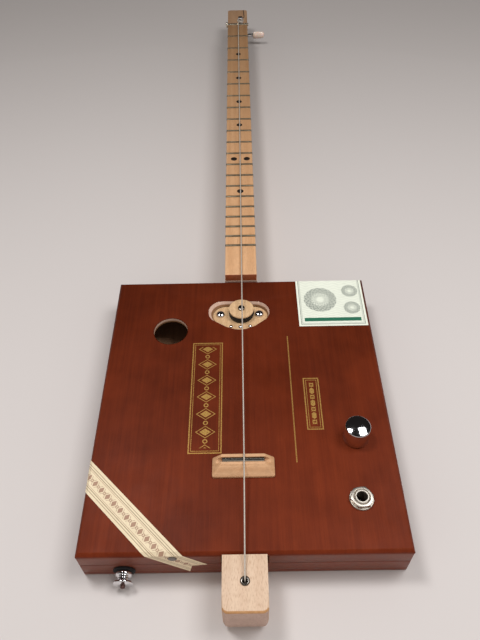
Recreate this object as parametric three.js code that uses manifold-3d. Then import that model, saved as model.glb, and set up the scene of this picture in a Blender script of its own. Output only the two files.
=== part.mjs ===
// One-string guitar built on a lidded wooden box, lying on its back.
// Millimetres. +X is the knob side, +Y runs to the headstock, +Z is up.
// The origin is the centre of the box's back.
import * as THREE from 'three';
import { mergeVertices } from 'three/addons/utils/BufferGeometryUtils.js';
import Module from 'manifold-3d';

const wasm = await Module();
wasm.setup();

// Fits
const SEAT_GAP = 0.3; // between pieces that are glued, pressed or screwed together
const RUN_GAP = 0.25; // round a shaft that turns in its bore
const OVERRUN = 2; // how far a cutting shape passes the face it cuts

// Box
const BOX_WIDTH = 196.5;
const BOX_LENGTH = 221;
const BOX_HEIGHT = 30;
const LID_THICKNESS = 3.6;
const LID_BEVEL = 1.8;
const BASE_THICKNESS = 3.6;
const WALL_THICKNESS = 8;
const SEAM_HEIGHT = 14.8; // from the floor to the joint of lid and tray
const LID_NOTCH_GAP = 1; // slack each side of the stick in the lid's walls

// Sound hole
const SOUND_HOLE_DIAMETER = 25.4;
const SOUND_HOLE_FROM_SIDE = 44.75;
const SOUND_HOLE_FROM_NECK_END = 52.5;

// Stick
const STICK_WIDTH = 26;
const TAIL_LENGTH = 31.9; // beyond the box
const TAIL_CORNER_RADIUS = 4.5;
const STICK_BACK_RADIUS = 3.5;
const HEADSTOCK_LENGTH = 61.4; // beyond the nut
const HEADSTOCK_THICKNESS = 12;
const HEADSTOCK_RAMP = 20; // length of the slope under the nut
const HEADSTOCK_RAMP_GAP = 0.8; // from the slope's end to the tuner's plate

// Scale and fretboard
const SCALE_LENGTH = 635; // nut to saddle
const FRET_COUNT = 20;
const LAST_FRET_FROM_BOX = 35.71; // this and the scale place the bridge on the lid
const SEMITONES = 12;
const FRETBOARD_WIDTH = 25.4;
const FRETBOARD_THICKNESS = 6.4;
const FRET_WIDTH = 2.2;
const FRET_CROWN = 0.9;
const FRET_TANG_WIDTH = 0.6;
const FRET_TANG_DEPTH = 1.8;
const FRET_OVERHANG = 0.2; // past each side of the fretboard

// Nut screw
const NUT_DIAMETER = 4.2;
const NUT_RISE = 1.4; // its top above the fretboard
const NUT_HEAD_DIAMETER = 6.6;
const NUT_HEAD_HEIGHT = 2.6;
const NUT_TIP = 1.6; // thread that stands out on the far side
const NUT_LIP = 2; // wood behind the groove
const NUT_LIP_DROP = 1.5; // the lip's top below the fretboard's

// String
const STRING_DIAMETER = 1;
const STRING_SIDES = 8;
const BALL_DIAMETER = 4;
const BALL_LENGTH = 3.4;
const BALL_POCKET_DEPTH = 4.2;
const STRING_BORE_DIAMETER = 2.4;
const STRING_BEND_RADIUS = 2.2; // where it leaves the ferrule
const STRING_BEND_START = 0.1; // below the tail block's top

// Ferrule
const FERRULE_FROM_BOX = 15;
const FERRULE_FLANGE_DIAMETER = 5.6;
const FERRULE_FLANGE_HEIGHT = 0.9;
const FERRULE_BARREL_DIAMETER = 4.4;
const FERRULE_BARREL_LENGTH = 8;
const FERRULE_BORE_DIAMETER = 2.6;

// Bridge
const BRIDGE_LENGTH = 39.5; // across the string
const BRIDGE_DEPTH = 19;
const BRIDGE_HEIGHT = 7.4;
const BRIDGE_FOOT = 1.2; // upright edge under the slopes
const BRIDGE_TOP_LENGTH = 28;
const BRIDGE_TOP_DEPTH = 5.6;
const BRIDGE_SADDLE_SHIFT = 0.3; // the rod lies this far from the middle
const SADDLE_DIAMETER = 3.2;
const SADDLE_LENGTH = 27;
const SADDLE_RISE = 0.8; // above the bridge's top

// Pickup
const PICKUP_FROM_NECK_END = 32.5;
const PICKUP_PLATE_WIDTH = 42;
const PICKUP_PLATE_DEPTH = 31;
const PICKUP_PLATE_THICKNESS = 2.4;
const PICKUP_PLATE_RADIUS = 6;
const PICKUP_PLATE_X = -0.8;
const PICKUP_PLATE_SHIFT = 7; // its centre lies this far tailward of the coil's
const PICKUP_PLATE_DROP = 4.2; // its top below the lid's
const COIL_DIAMETER = 19.5;
const COIL_HEIGHT = 4.6;
const CAP_DIAMETER = 19.2;
const CAP_HEIGHT = 1.4;
const POLE_DIAMETER = 3;
const POLE_HEAD_DIAMETER = 4.6;
const POLE_HEAD_HEIGHT = 1.3;
const PICKUP_SCREW_DIAMETER = 3;
const PICKUP_SCREW_LENGTH = 11;
const PICKUP_SCREW_HEAD_DIAMETER = 6.7;
const PICKUP_SCREW_HEAD_HEIGHT = 2.2;
const PICKUP_SCREW_SPREAD = 30.2; // centre to centre
const PICKUP_SCREW_MIDDLE_X = -1.2;
const PICKUP_SCREW_SHIFT = 0.5; // tailward of the coil's centre

// Opening in the lid over the pickup: two upper arcs and one wide lower arc
const WINDOW_X = -2;
const WINDOW_EAR_RADIUS = 11.6;
const WINDOW_EAR_SPREAD = 24.4; // between the ear arcs' centres
const WINDOW_EAR_SHIFT = 1.7; // tailward of the coil's centre
const WINDOW_CHIN_RADIUS = 16;
const WINDOW_CHIN_SHIFT = 4.4; // tailward of the coil's centre
const WINDOW_FLANK_ANGLE = (50 * Math.PI) / 180;

// Volume control
const KNOB_FROM_SIDE = 24.75;
const KNOB_FROM_TAIL_END = 74.9;
const KNOB_BASE_DIAMETER = 17.2;
const KNOB_TOP_DIAMETER = 16.2;
const KNOB_HEIGHT = 14.2;
const KNOB_DOME = 0.9;
const KNOB_LIFT = 0.5; // running gap over the lid
const KNOB_WALL = 1.2;
const KNOB_RECESS_DEPTH = 7;
const KNOB_ROOF = 1.8; // over the shaft's end
const POT_SHAFT_DIAMETER = 6;
const POT_THREAD_DIAMETER = 9.5;
const POT_THREAD_RISE = 5; // above the lid
const POT_NUT_DIAMETER = 12.5;
const POT_NUT_HEIGHT = 2.2;
const POT_CAN_DIAMETER = 17;
const POT_CAN_HEIGHT = 9;
const POT_TAB_LENGTH = 5.5;
const POT_TAB_WIDTH = 12;
const POT_TAB_THICKNESS = 1.6;

// Output jack
const JACK_FROM_SIDE = 26.95;
const JACK_FROM_TAIL_END = 32.1;
const JACK_BORE_DIAMETER = 6.4;
const JACK_THREAD_DIAMETER = 9.5;
const JACK_THREAD_RISE = 4; // above the lid
const JACK_BARREL_DROP = 3; // below its frame
const JACK_NUT_ACROSS_FLATS = 12.7;
const JACK_NUT_HEIGHT = 2.3;
const JACK_WASHER_DIAMETER = 15;
const JACK_WASHER_THICKNESS = 0.8;
const JACK_FRAME_WIDTH = 16;
const JACK_FRAME_THICKNESS = 1.5;
const JACK_SPRING_DROP = 17;
const JACK_SPRING_THICKNESS = 1.2;
const JACK_SPRING_WIDTH = 5;

// Strap button
const STRAP_FROM_SIDE = 25.75;
const STRAP_HEIGHT = 7.3; // above the floor
const STRAP_FELT_DIAMETER = 13;
const STRAP_FELT_THICKNESS = 1.8;
const STRAP_FOOT_DIAMETER = 9.5;
const STRAP_WAIST_DIAMETER = 6.2;
const STRAP_FLANGE_DIAMETER = 11.6;
const STRAP_LENGTH = 6.4;
const STRAP_RIM = 1.1;
const STRAP_SCREW_DIAMETER = 3.4;
const STRAP_SCREW_HEAD = 1.8; // stands out past the flange
const STRAP_SCREW_REACH = 7; // into the wall

// Tuner
const POST_FROM_NUT = 12.8;
const POST_DIAMETER = 6;
const POST_RISE = 10.7; // above the headstock
const POST_HOLE_DIAMETER = 1.8;
const POST_HOLE_BELOW_TOP = 1.8;
const POST_FOOT_HEIGHT = 1;
const POST_FOOT_DIAMETER = 5.4;
const BUSHING_FLANGE_DIAMETER = 9;
const BUSHING_FLANGE_HEIGHT = 0.9;
const BUSHING_BARREL_DIAMETER = 7.8;
const BUSHING_LENGTH = 10;
const TUNER_PLATE_THICKNESS = 1.2;
const TUNER_PLATE_WIDTH = 15.2;
const TUNER_PLATE_MARGIN = 9; // of plate past the post and past the shaft
const TUNER_EAR_THICKNESS = 1.4;
const TUNER_EAR_WIDTH = 7;
const TUNER_EAR_DROP = 2.6; // of ear below the shaft's centre
const GEAR_TEETH = 14;
const GEAR_PITCH = 2.6; // tooth to tooth, and the worm's lead
const GEAR_THICKNESS = 3;
const TOOTH_ROOT_SHARE = 0.19; // half a tooth's width, as a share of the pitch
const TOOTH_TIP_SHARE = 0.1;
const MESH_GAP = 0.3;
const WORM_CORE_RADIUS = 2.6;
const WORM_THREAD_LINE = 2.9; // radius of the thread's centre line
const WORM_THREAD_RADIUS = 0.55;
const WORM_THREAD_TURNS = 3;
const WORM_LENGTH = 10;
const WORM_SHAFT_DIAMETER = 3;
const WORM_SHAFT_END = 1.5; // past the far ear
const BUTTON_REACH = 20.8; // from the string's line to the button
const BUTTON_LENGTH = 15;
const BUTTON_WIDTH = 9.2;
const BUTTON_THICKNESS = 6;
const BUTTON_BORE_DEPTH = 9;

// String's turns on the post
const WINDING_TURNS = 2.25;
const WINDING_PITCH = 1.5;
const WINDING_STEPS = 24; // in each turn
const WINDING_SIDES = 6;
const STRING_END_HEIGHT = 2.2; // the straight string's end above the headstock
const WINDING_RISE = 2.5; // the lowest turn above the straight string's end

// Places worked out from the sizes
const HALF_WIDTH = BOX_WIDTH / 2;
const HALF_LENGTH = BOX_LENGTH / 2;
const TRAY_FLOOR = BASE_THICKNESS + SEAT_GAP;
const LID_UNDERSIDE = BOX_HEIGHT - LID_THICKNESS;
const LAST_FRET_SHARE = 2 ** (-FRET_COUNT / SEMITONES); // of the scale, from the saddle
const SADDLE_Y = HALF_LENGTH + LAST_FRET_FROM_BOX - SCALE_LENGTH * LAST_FRET_SHARE;
const NUT_Y = SADDLE_Y + SCALE_LENGTH;
const TAIL_END = -HALF_LENGTH - TAIL_LENGTH;
const HEAD_END = NUT_Y + HEADSTOCK_LENGTH;
const STICK_TOP = BOX_HEIGHT;
const HEADSTOCK_UNDERSIDE = STICK_TOP - HEADSTOCK_THICKNESS;
const FRETBOARD_BOTTOM = STICK_TOP + SEAT_GAP;
const FRETBOARD_TOP = FRETBOARD_BOTTOM + FRETBOARD_THICKNESS;
const NUT_Z = FRETBOARD_TOP + NUT_RISE - NUT_DIAMETER / 2;
const FERRULE_Y = -HALF_LENGTH - FERRULE_FROM_BOX;
const PICKUP_Y = HALF_LENGTH - PICKUP_FROM_NECK_END;
const PLATE_TOP = BOX_HEIGHT - PICKUP_PLATE_DROP;
const PLATE_BOTTOM = PLATE_TOP - PICKUP_PLATE_THICKNESS;
const PLATE_Y = PICKUP_Y - PICKUP_PLATE_SHIFT;
const BRIDGE_BOTTOM = BOX_HEIGHT + SEAT_GAP;
const BRIDGE_TOP = BRIDGE_BOTTOM + BRIDGE_HEIGHT;
const SADDLE_Z = BRIDGE_TOP + SADDLE_RISE - SADDLE_DIAMETER / 2;
const KNOB_X = HALF_WIDTH - KNOB_FROM_SIDE;
const KNOB_Y = KNOB_FROM_TAIL_END - HALF_LENGTH;
const JACK_X = HALF_WIDTH - JACK_FROM_SIDE;
const JACK_Y = JACK_FROM_TAIL_END - HALF_LENGTH;
const SOUND_HOLE_X = SOUND_HOLE_FROM_SIDE - HALF_WIDTH;
const SOUND_HOLE_Y = HALF_LENGTH - SOUND_HOLE_FROM_NECK_END;
const STRAP_X = STRAP_FROM_SIDE - HALF_WIDTH;
const BOARD_END = HALF_LENGTH + SEAT_GAP; // the fretboard's end beside the box
const STRING_OFFSET = SEAT_GAP + STRING_DIAMETER / 2; // string's centre from what it lies on
const WINDING_RADIUS = POST_DIAMETER / 2 + STRING_OFFSET;
const POST_X = WINDING_RADIUS;
const POST_Y = NUT_Y + POST_FROM_NUT;
const PLATE_UNDER_HEAD = HEADSTOCK_UNDERSIDE - SEAT_GAP - TUNER_PLATE_THICKNESS;
const GEAR_RADIUS = (GEAR_TEETH * GEAR_PITCH) / (2 * Math.PI);
const WORM_DISTANCE = GEAR_RADIUS + WORM_THREAD_LINE;
const WORM_Y = POST_Y + WORM_DISTANCE;
const WORM_Z = PLATE_UNDER_HEAD - MESH_GAP - WORM_THREAD_LINE - WORM_THREAD_RADIUS;
const EAR_OFFSET = WORM_LENGTH / 2 + MESH_GAP; // from the post's line to an ear's inner face

// Facets to half a turn
const FINE = 12; // on round pieces that show
const COARSE = 5; // on small ones
const CORNER = 3; // half the facets of the stick's rounded edges

const WOOD_RED = { color: 0x6b2f1c, roughness: 0.4, metalness: 0 };
const WOOD_RED_DARK = { color: 0x4e2116, roughness: 0.45, metalness: 0 };
const WOOD_MAPLE = { color: 0xd9b88c, roughness: 0.5, metalness: 0 };
const WOOD_PALE = { color: 0xe2cba6, roughness: 0.55, metalness: 0 };
const CHROME = { color: 0xc9ccd0, roughness: 0.15, metalness: 1 };
const NICKEL = { color: 0x8f9294, roughness: 0.3, metalness: 1 };
const STEEL_STRING = { color: 0xb9b4ab, roughness: 0.35, metalness: 1 };
const BLACK_TAPE = { color: 0x141416, roughness: 0.5, metalness: 0 };
const BLACK_FELT = { color: 0x17171a, roughness: 0.9, metalness: 0 };
const PEARL = { color: 0xece6dc, roughness: 0.25, metalness: 0 };

const guitar = new THREE.Group();

function addPiece(name, geometry, finish) {
  const mesh = new THREE.Mesh(geometry, new THREE.MeshStandardMaterial(finish));
  mesh.name = name;
  guitar.add(mesh);
}

// Booleans

function toSolid(geometry) {
  const bare = geometry.clone();
  bare.deleteAttribute('normal');
  bare.deleteAttribute('uv');
  const merged = mergeVertices(bare);
  return new wasm.Manifold(new wasm.Mesh({
    numProp: 3,
    vertProperties: new Float32Array(merged.attributes.position.array),
    triVerts: new Uint32Array(merged.index.array),
  }));
}

function toGeometry(solid) {
  const mesh = solid.getMesh();
  const geometry = new THREE.BufferGeometry();
  geometry.setAttribute('position', new THREE.BufferAttribute(mesh.vertProperties, 3));
  geometry.setIndex(new THREE.BufferAttribute(mesh.triVerts, 1));
  geometry.computeVertexNormals();
  return geometry;
}

function common(...geometries) {
  const solids = geometries.map(toSolid);
  return toGeometry(solids.reduce((left, right) => left.intersect(right)));
}

function joined(...geometries) {
  const solids = geometries.map(toSolid);
  return toGeometry(solids.reduce((left, right) => left.add(right)));
}

function without(geometry, ...cutters) {
  const solids = cutters.map(toSolid);
  return toGeometry(solids.reduce((left, right) => left.subtract(right), toSolid(geometry)));
}

// Outlines

function rectangle(left, right, low, high) {
  const shape = new THREE.Shape();
  shape.moveTo(left, low);
  shape.lineTo(right, low);
  shape.lineTo(right, high);
  shape.lineTo(left, high);
  shape.closePath();
  return shape;
}

function polygon(points) {
  return new THREE.Shape(points.map(([across, up]) => new THREE.Vector2(across, up)));
}

function circle(x, y, diameter) {
  const shape = new THREE.Shape();
  shape.absarc(x, y, diameter / 2, 0, 2 * Math.PI, false);
  return shape;
}

function roundedRectangle(left, right, low, high, radius) {
  const shape = new THREE.Shape();
  shape.absarc(right - radius, low + radius, radius, -Math.PI / 2, 0, false);
  shape.absarc(right - radius, high - radius, radius, 0, Math.PI / 2, false);
  shape.absarc(left + radius, high - radius, radius, Math.PI / 2, Math.PI, false);
  shape.absarc(left + radius, low + radius, radius, Math.PI, 1.5 * Math.PI, false);
  shape.closePath();
  return shape;
}

// Prisms: an outline drawn square to one axis and drawn out between two places on it

const PRISM_TURNS = {
  x: new THREE.Matrix4().makeBasis(
    new THREE.Vector3(0, 1, 0), new THREE.Vector3(0, 0, 1), new THREE.Vector3(1, 0, 0)),
  y: new THREE.Matrix4().makeBasis(
    new THREE.Vector3(1, 0, 0), new THREE.Vector3(0, 0, 1), new THREE.Vector3(0, -1, 0)),
  z: new THREE.Matrix4(),
};

function prism(shape, axis, from, to, curveSegments = COARSE) {
  const geometry = new THREE.ExtrudeGeometry(shape, {
    depth: to - from, bevelEnabled: false, curveSegments,
  });
  geometry.applyMatrix4(PRISM_TURNS[axis]);
  const start = { x: [from, 0, 0], y: [0, to, 0], z: [0, 0, from] }[axis];
  return geometry.translate(...start);
}

function block(left, right, tail, head, low, high) {
  return prism(rectangle(left, right, tail, head), 'z', low, high);
}

// Turned pieces: a profile of [radius, height] from the bottom up, stood on a point

function turned(profile, x, y, z, segments = 2 * FINE) {
  const points = profile.map(([radius, height]) => new THREE.Vector2(radius, height));
  const geometry = new THREE.LatheGeometry(points, segments);
  return geometry.rotateX(Math.PI / 2).translate(x, y, z);
}

function tubeProfile(bore, outline) {
  const first = outline[0];
  const last = outline[outline.length - 1];
  return [[bore, first[1]], ...outline, [bore, last[1]], [bore, first[1]]];
}

// Tubes along a list of points, with one ring at each point

class PointPath extends THREE.Curve {
  constructor(points) {
    super();
    this.points = points;
  }

  getPoint(share) {
    const place = share * (this.points.length - 1);
    const index = Math.min(Math.floor(place), this.points.length - 2);
    return this.points[index].clone().lerp(this.points[index + 1], place - index);
  }

  getPointAt(share) {
    return this.getPoint(share);
  }

  getTangentAt(share) {
    return this.getTangent(share);
  }
}

function tube(points, radius, sides) {
  const section = new THREE.Shape();
  for (let side = 0; side < sides; side += 1) {
    const angle = (2 * Math.PI * side) / sides;
    const corner = [radius * Math.cos(angle), radius * Math.sin(angle)];
    if (side === 0) section.moveTo(...corner);
    else section.lineTo(...corner);
  }
  section.closePath();
  return new THREE.ExtrudeGeometry(section, {
    steps: points.length - 1, extrudePath: new PointPath(points), bevelEnabled: false,
  });
}

// Least distance between the skins of turns that lie beside each other
function leastGap(points, diameter, turnSteps) {
  let least = Infinity;
  for (let first = 0; first < points.length; first += 1) {
    for (let second = first + Math.floor(turnSteps / 2); second < points.length; second += 1) {
      least = Math.min(least, points[first].distanceTo(points[second]) - diameter);
    }
  }
  return least;
}

// Box

function windowOutline() {
  const ear = WINDOW_EAR_SPREAD / 2;
  const earY = PICKUP_Y - WINDOW_EAR_SHIFT;
  const chinY = PICKUP_Y - WINDOW_CHIN_SHIFT;
  const path = new THREE.Path();
  path.absarc(WINDOW_X + ear, earY, WINDOW_EAR_RADIUS, Math.PI / 2, -WINDOW_FLANK_ANGLE, true);
  path.absarc(WINDOW_X, chinY, WINDOW_CHIN_RADIUS, -WINDOW_FLANK_ANGLE,
    WINDOW_FLANK_ANGLE - Math.PI, true);
  path.absarc(WINDOW_X - ear, earY, WINDOW_EAR_RADIUS, WINDOW_FLANK_ANGLE - Math.PI,
    -1.5 * Math.PI, true);
  path.closePath();
  return path;
}

function bevelledEnd(half) {
  return polygon([
    [-half, LID_UNDERSIDE - OVERRUN], [half, LID_UNDERSIDE - OVERRUN],
    [half, BOX_HEIGHT - LID_BEVEL], [half - LID_BEVEL, BOX_HEIGHT],
    [LID_BEVEL - half, BOX_HEIGHT], [-half, BOX_HEIGHT - LID_BEVEL],
  ]);
}

function addBoards() {
  const outline = rectangle(-HALF_WIDTH, HALF_WIDTH, -HALF_LENGTH, HALF_LENGTH);
  outline.holes = [
    circle(SOUND_HOLE_X, SOUND_HOLE_Y, SOUND_HOLE_DIAMETER),
    windowOutline(),
    circle(KNOB_X, KNOB_Y, POT_THREAD_DIAMETER + 2 * SEAT_GAP),
    circle(JACK_X, JACK_Y, JACK_THREAD_DIAMETER + 2 * SEAT_GAP),
  ];
  addPiece('lid_board', common(
    prism(outline, 'z', LID_UNDERSIDE, BOX_HEIGHT, FINE),
    prism(bevelledEnd(HALF_WIDTH), 'y', -HALF_LENGTH, HALF_LENGTH),
    prism(bevelledEnd(HALF_LENGTH), 'x', -HALF_WIDTH, HALF_WIDTH),
  ), WOOD_RED);
  addPiece('base_board',
    block(-HALF_WIDTH, HALF_WIDTH, -HALF_LENGTH, HALF_LENGTH, 0, BASE_THICKNESS), WOOD_RED_DARK);
}

function endBoard(left, right, low, high, outerFace, holes = []) {
  const shape = rectangle(left, right, low, high);
  shape.holes = holes;
  const from = Math.min(outerFace, outerFace - Math.sign(outerFace) * WALL_THICKNESS);
  return prism(shape, 'y', from, from + WALL_THICKNESS);
}

// The end boards come in two halves, one each side of the stick
function addWalls(part, low, high, notch, tailHoles = []) {
  const sideTail = WALL_THICKNESS + SEAT_GAP - HALF_LENGTH;
  const insideX = HALF_WIDTH - WALL_THICKNESS;
  addPiece(`${part}_wall_left`,
    block(-HALF_WIDTH, -insideX, sideTail, -sideTail, low, high), WOOD_RED_DARK);
  addPiece(`${part}_wall_right`,
    block(insideX, HALF_WIDTH, sideTail, -sideTail, low, high), WOOD_RED_DARK);
  addPiece(`${part}_wall_tail_left`,
    endBoard(-HALF_WIDTH, -notch, low, high, -HALF_LENGTH, tailHoles), WOOD_RED_DARK);
  addPiece(`${part}_wall_tail_right`,
    endBoard(notch, HALF_WIDTH, low, high, -HALF_LENGTH), WOOD_RED_DARK);
  addPiece(`${part}_wall_neck_left`,
    endBoard(-HALF_WIDTH, -notch, low, high, HALF_LENGTH), WOOD_RED_DARK);
  addPiece(`${part}_wall_neck_right`,
    endBoard(notch, HALF_WIDTH, low, high, HALF_LENGTH), WOOD_RED_DARK);
}

// Stick, fretboard and nut

function addStick() {
  const middleTop = LID_UNDERSIDE - SEAT_GAP;
  const housing = PICKUP_PLATE_DEPTH / 2 + SEAT_GAP;
  const rampEnd = POST_Y - TUNER_PLATE_MARGIN - HEADSTOCK_RAMP_GAP;
  const half = STICK_WIDTH / 2;
  const side = polygon([
    [TAIL_END, TRAY_FLOOR], [rampEnd - HEADSTOCK_RAMP, TRAY_FLOOR],
    [rampEnd, HEADSTOCK_UNDERSIDE], [HEAD_END, HEADSTOCK_UNDERSIDE],
    [HEAD_END, STICK_TOP], [BOARD_END, STICK_TOP], [BOARD_END, middleTop],
    [PLATE_Y + housing, middleTop], [PLATE_Y + housing, PLATE_BOTTOM - SEAT_GAP],
    [PLATE_Y - housing, PLATE_BOTTOM - SEAT_GAP], [PLATE_Y - housing, middleTop],
    [-BOARD_END, middleTop], [-BOARD_END, STICK_TOP], [TAIL_END, STICK_TOP],
  ]);
  const plan = roundedRectangle(-half, half, TAIL_END, HEAD_END, TAIL_CORNER_RADIUS);
  const section = roundedRectangle(-half, half, TRAY_FLOOR,
    STICK_TOP + OVERRUN + STICK_BACK_RADIUS, STICK_BACK_RADIUS);
  const through = [TRAY_FLOOR - OVERRUN, STICK_TOP + OVERRUN];
  const ferruleFloor = STICK_TOP - FERRULE_BARREL_LENGTH - SEAT_GAP;
  const cutters = [
    prism(circle(0, FERRULE_Y, STRING_BORE_DIAMETER), 'z', ...through),
    prism(circle(0, FERRULE_Y, FERRULE_BARREL_DIAMETER + 2 * SEAT_GAP), 'z',
      ferruleFloor, STICK_TOP + OVERRUN),
    prism(circle(0, FERRULE_Y, BALL_DIAMETER + 2 * SEAT_GAP), 'z',
      TRAY_FLOOR - OVERRUN, TRAY_FLOOR + BALL_POCKET_DEPTH),
    prism(circle(POST_X, POST_Y, BUSHING_BARREL_DIAMETER + 2 * SEAT_GAP), 'z', ...through),
    ...pickupScrewPlaces().map(([x, y]) => prism(
      circle(x, y, PICKUP_SCREW_DIAMETER + 2 * SEAT_GAP), 'z',
      PLATE_TOP - PICKUP_SCREW_LENGTH - OVERRUN, STICK_TOP)),
  ];
  addPiece('neck_stick', without(common(
    prism(side, 'x', -half, half),
    prism(plan, 'z', TRAY_FLOOR, STICK_TOP, CORNER),
    prism(section, 'y', TAIL_END, HEAD_END, CORNER),
  ), ...cutters), WOOD_MAPLE);
}

function fretPlaces() {
  const places = [];
  for (let number = 1; number <= FRET_COUNT; number += 1) {
    places.push(SADDLE_Y + SCALE_LENGTH * 2 ** (-number / SEMITONES));
  }
  return places;
}

function addFretboard() {
  const slot = FRET_TANG_WIDTH / 2 + SEAT_GAP;
  const slotFloor = FRETBOARD_TOP - FRET_TANG_DEPTH - SEAT_GAP;
  const groove = NUT_DIAMETER / 2 + SEAT_GAP;
  const lipTop = FRETBOARD_TOP - NUT_LIP_DROP;
  const end = NUT_Y + groove + NUT_LIP;
  const outline = [
    [BOARD_END, FRETBOARD_TOP], [BOARD_END, FRETBOARD_BOTTOM],
    [end, FRETBOARD_BOTTOM], [end, lipTop], [NUT_Y + groove, lipTop],
  ];
  for (let step = 0; step <= FINE; step += 1) {
    const angle = (Math.PI * step) / FINE;
    outline.push([NUT_Y + groove * Math.cos(angle), NUT_Z - groove * Math.sin(angle)]);
  }
  outline.push([NUT_Y - groove, FRETBOARD_TOP]);
  for (const place of fretPlaces()) {
    outline.push([place + slot, FRETBOARD_TOP], [place + slot, slotFloor],
      [place - slot, slotFloor], [place - slot, FRETBOARD_TOP]);
  }
  addPiece('fretboard',
    prism(polygon(outline), 'x', -FRETBOARD_WIDTH / 2, FRETBOARD_WIDTH / 2), WOOD_MAPLE);
}

function addFrets() {
  const half = FRETBOARD_WIDTH / 2 + FRET_OVERHANG;
  const foot = FRETBOARD_TOP + SEAT_GAP / 2;
  fretPlaces().forEach((place, index) => {
    const outline = [
      [place - FRET_TANG_WIDTH / 2, FRETBOARD_TOP - FRET_TANG_DEPTH],
      [place + FRET_TANG_WIDTH / 2, FRETBOARD_TOP - FRET_TANG_DEPTH],
      [place + FRET_TANG_WIDTH / 2, foot],
    ];
    for (let step = 0; step <= COARSE; step += 1) {
      const angle = (Math.PI * step) / COARSE;
      const rise = (FRET_CROWN - SEAT_GAP / 2) * Math.sin(angle);
      outline.push([place + (FRET_WIDTH / 2) * Math.cos(angle), foot + rise]);
    }
    outline.push([place - FRET_TANG_WIDTH / 2, foot]);
    addPiece(`fret_${String(index + 1).padStart(2, '0')}`,
      prism(polygon(outline), 'x', -half, half), NICKEL);
  });
}

function addNut() {
  const half = FRETBOARD_WIDTH / 2;
  const radius = NUT_DIAMETER / 2;
  const head = NUT_HEAD_DIAMETER / 2;
  const headFoot = NUT_HEAD_HEIGHT + SEAT_GAP;
  const length = headFoot + FRETBOARD_WIDTH + NUT_TIP;
  const profile = [
    [0, 0], [head / 2, 0], [head, NUT_HEAD_HEIGHT / 2], [head, NUT_HEAD_HEIGHT],
    [radius, NUT_HEAD_HEIGHT], [radius, length], [0, length],
  ];
  const screw = turned(profile, 0, 0, 0, FINE);
  screw.rotateY(Math.PI / 2).translate(-half - headFoot, NUT_Y, NUT_Z);
  addPiece('nut_bolt', screw, NICKEL);
}

// Bridge, string and ferrule

function addBridge() {
  const roof = (half, topHalf) => polygon([
    [-half, BRIDGE_BOTTOM], [half, BRIDGE_BOTTOM], [half, BRIDGE_BOTTOM + BRIDGE_FOOT],
    [topHalf, BRIDGE_TOP], [-topHalf, BRIDGE_TOP], [-half, BRIDGE_BOTTOM + BRIDGE_FOOT],
  ]);
  const along = BRIDGE_LENGTH / 2;
  const across = BRIDGE_DEPTH / 2;
  const middle = SADDLE_Y - BRIDGE_SADDLE_SHIFT;
  const rodHalf = SADDLE_LENGTH / 2;
  const wood = common(
    prism(roof(along, BRIDGE_TOP_LENGTH / 2), 'y', middle - across, middle + across),
    prism(roof(across, BRIDGE_TOP_DEPTH / 2), 'x', -along, along).translate(0, middle, 0),
  );
  const groove = prism(circle(SADDLE_Y, SADDLE_Z, SADDLE_DIAMETER + 2 * SEAT_GAP), 'x',
    -rodHalf - SEAT_GAP, rodHalf + SEAT_GAP);
  addPiece('bridge_base', without(wood, groove), WOOD_PALE);
  addPiece('bridge_saddle',
    prism(circle(SADDLE_Y, SADDLE_Z, SADDLE_DIAMETER), 'x', -rodHalf, rodHalf), CHROME);
}

function arcPoints(y, z, radius, from, to, steps) {
  const points = [];
  for (let step = 0; step <= steps; step += 1) {
    const angle = from + ((to - from) * step) / steps;
    points.push(new THREE.Vector3(0, y + radius * Math.cos(angle), z + radius * Math.sin(angle)));
  }
  return points;
}

function stringPoints() {
  const saddleTop = SADDLE_Z + SADDLE_DIAMETER / 2 + STRING_OFFSET;
  const nutRadius = NUT_DIAMETER / 2 + STRING_OFFSET;
  const nutTop = NUT_Z + nutRadius;
  const endZ = STICK_TOP + STRING_END_HEIGHT;
  const bendZ = STICK_TOP - STRING_BEND_START;
  const bendY = FERRULE_Y + STRING_BEND_RADIUS;
  const rise = Math.atan2(saddleTop - bendZ - STRING_BEND_RADIUS, SADDLE_Y - bendY);
  const fall = Math.atan2(nutTop - endZ, POST_FROM_NUT);
  const ballTop = TRAY_FLOOR + SEAT_GAP + BALL_LENGTH;
  return [
    new THREE.Vector3(0, FERRULE_Y, ballTop - BALL_LENGTH / 2),
    ...arcPoints(bendY, bendZ, STRING_BEND_RADIUS, Math.PI, Math.PI / 2 + rise, COARSE),
    new THREE.Vector3(0, SADDLE_Y, saddleTop),
    ...arcPoints(NUT_Y, NUT_Z, nutRadius, Math.PI / 2, Math.PI / 2 - fall, 2),
    new THREE.Vector3(0, POST_Y, endZ),
  ];
}

function addString() {
  const ball = turned([[0, 0], [BALL_DIAMETER / 2, 0], [BALL_DIAMETER / 2, BALL_LENGTH],
    [0, BALL_LENGTH]], 0, FERRULE_Y, TRAY_FLOOR + SEAT_GAP, FINE);
  addPiece('string',
    joined(tube(stringPoints(), STRING_DIAMETER / 2, STRING_SIDES), ball), STEEL_STRING);
  const flange = FERRULE_FLANGE_DIAMETER / 2;
  const barrel = FERRULE_BARREL_DIAMETER / 2;
  const barrelTop = FERRULE_BARREL_LENGTH + SEAT_GAP;
  const profile = tubeProfile(FERRULE_BORE_DIAMETER / 2, [
    [barrel, 0], [barrel, barrelTop], [flange, barrelTop],
    [flange, barrelTop + FERRULE_FLANGE_HEIGHT / 2],
    [barrel, barrelTop + FERRULE_FLANGE_HEIGHT],
  ]);
  addPiece('string_ferrule',
    turned(profile, 0, FERRULE_Y, STICK_TOP - FERRULE_BARREL_LENGTH), NICKEL);
}

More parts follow.
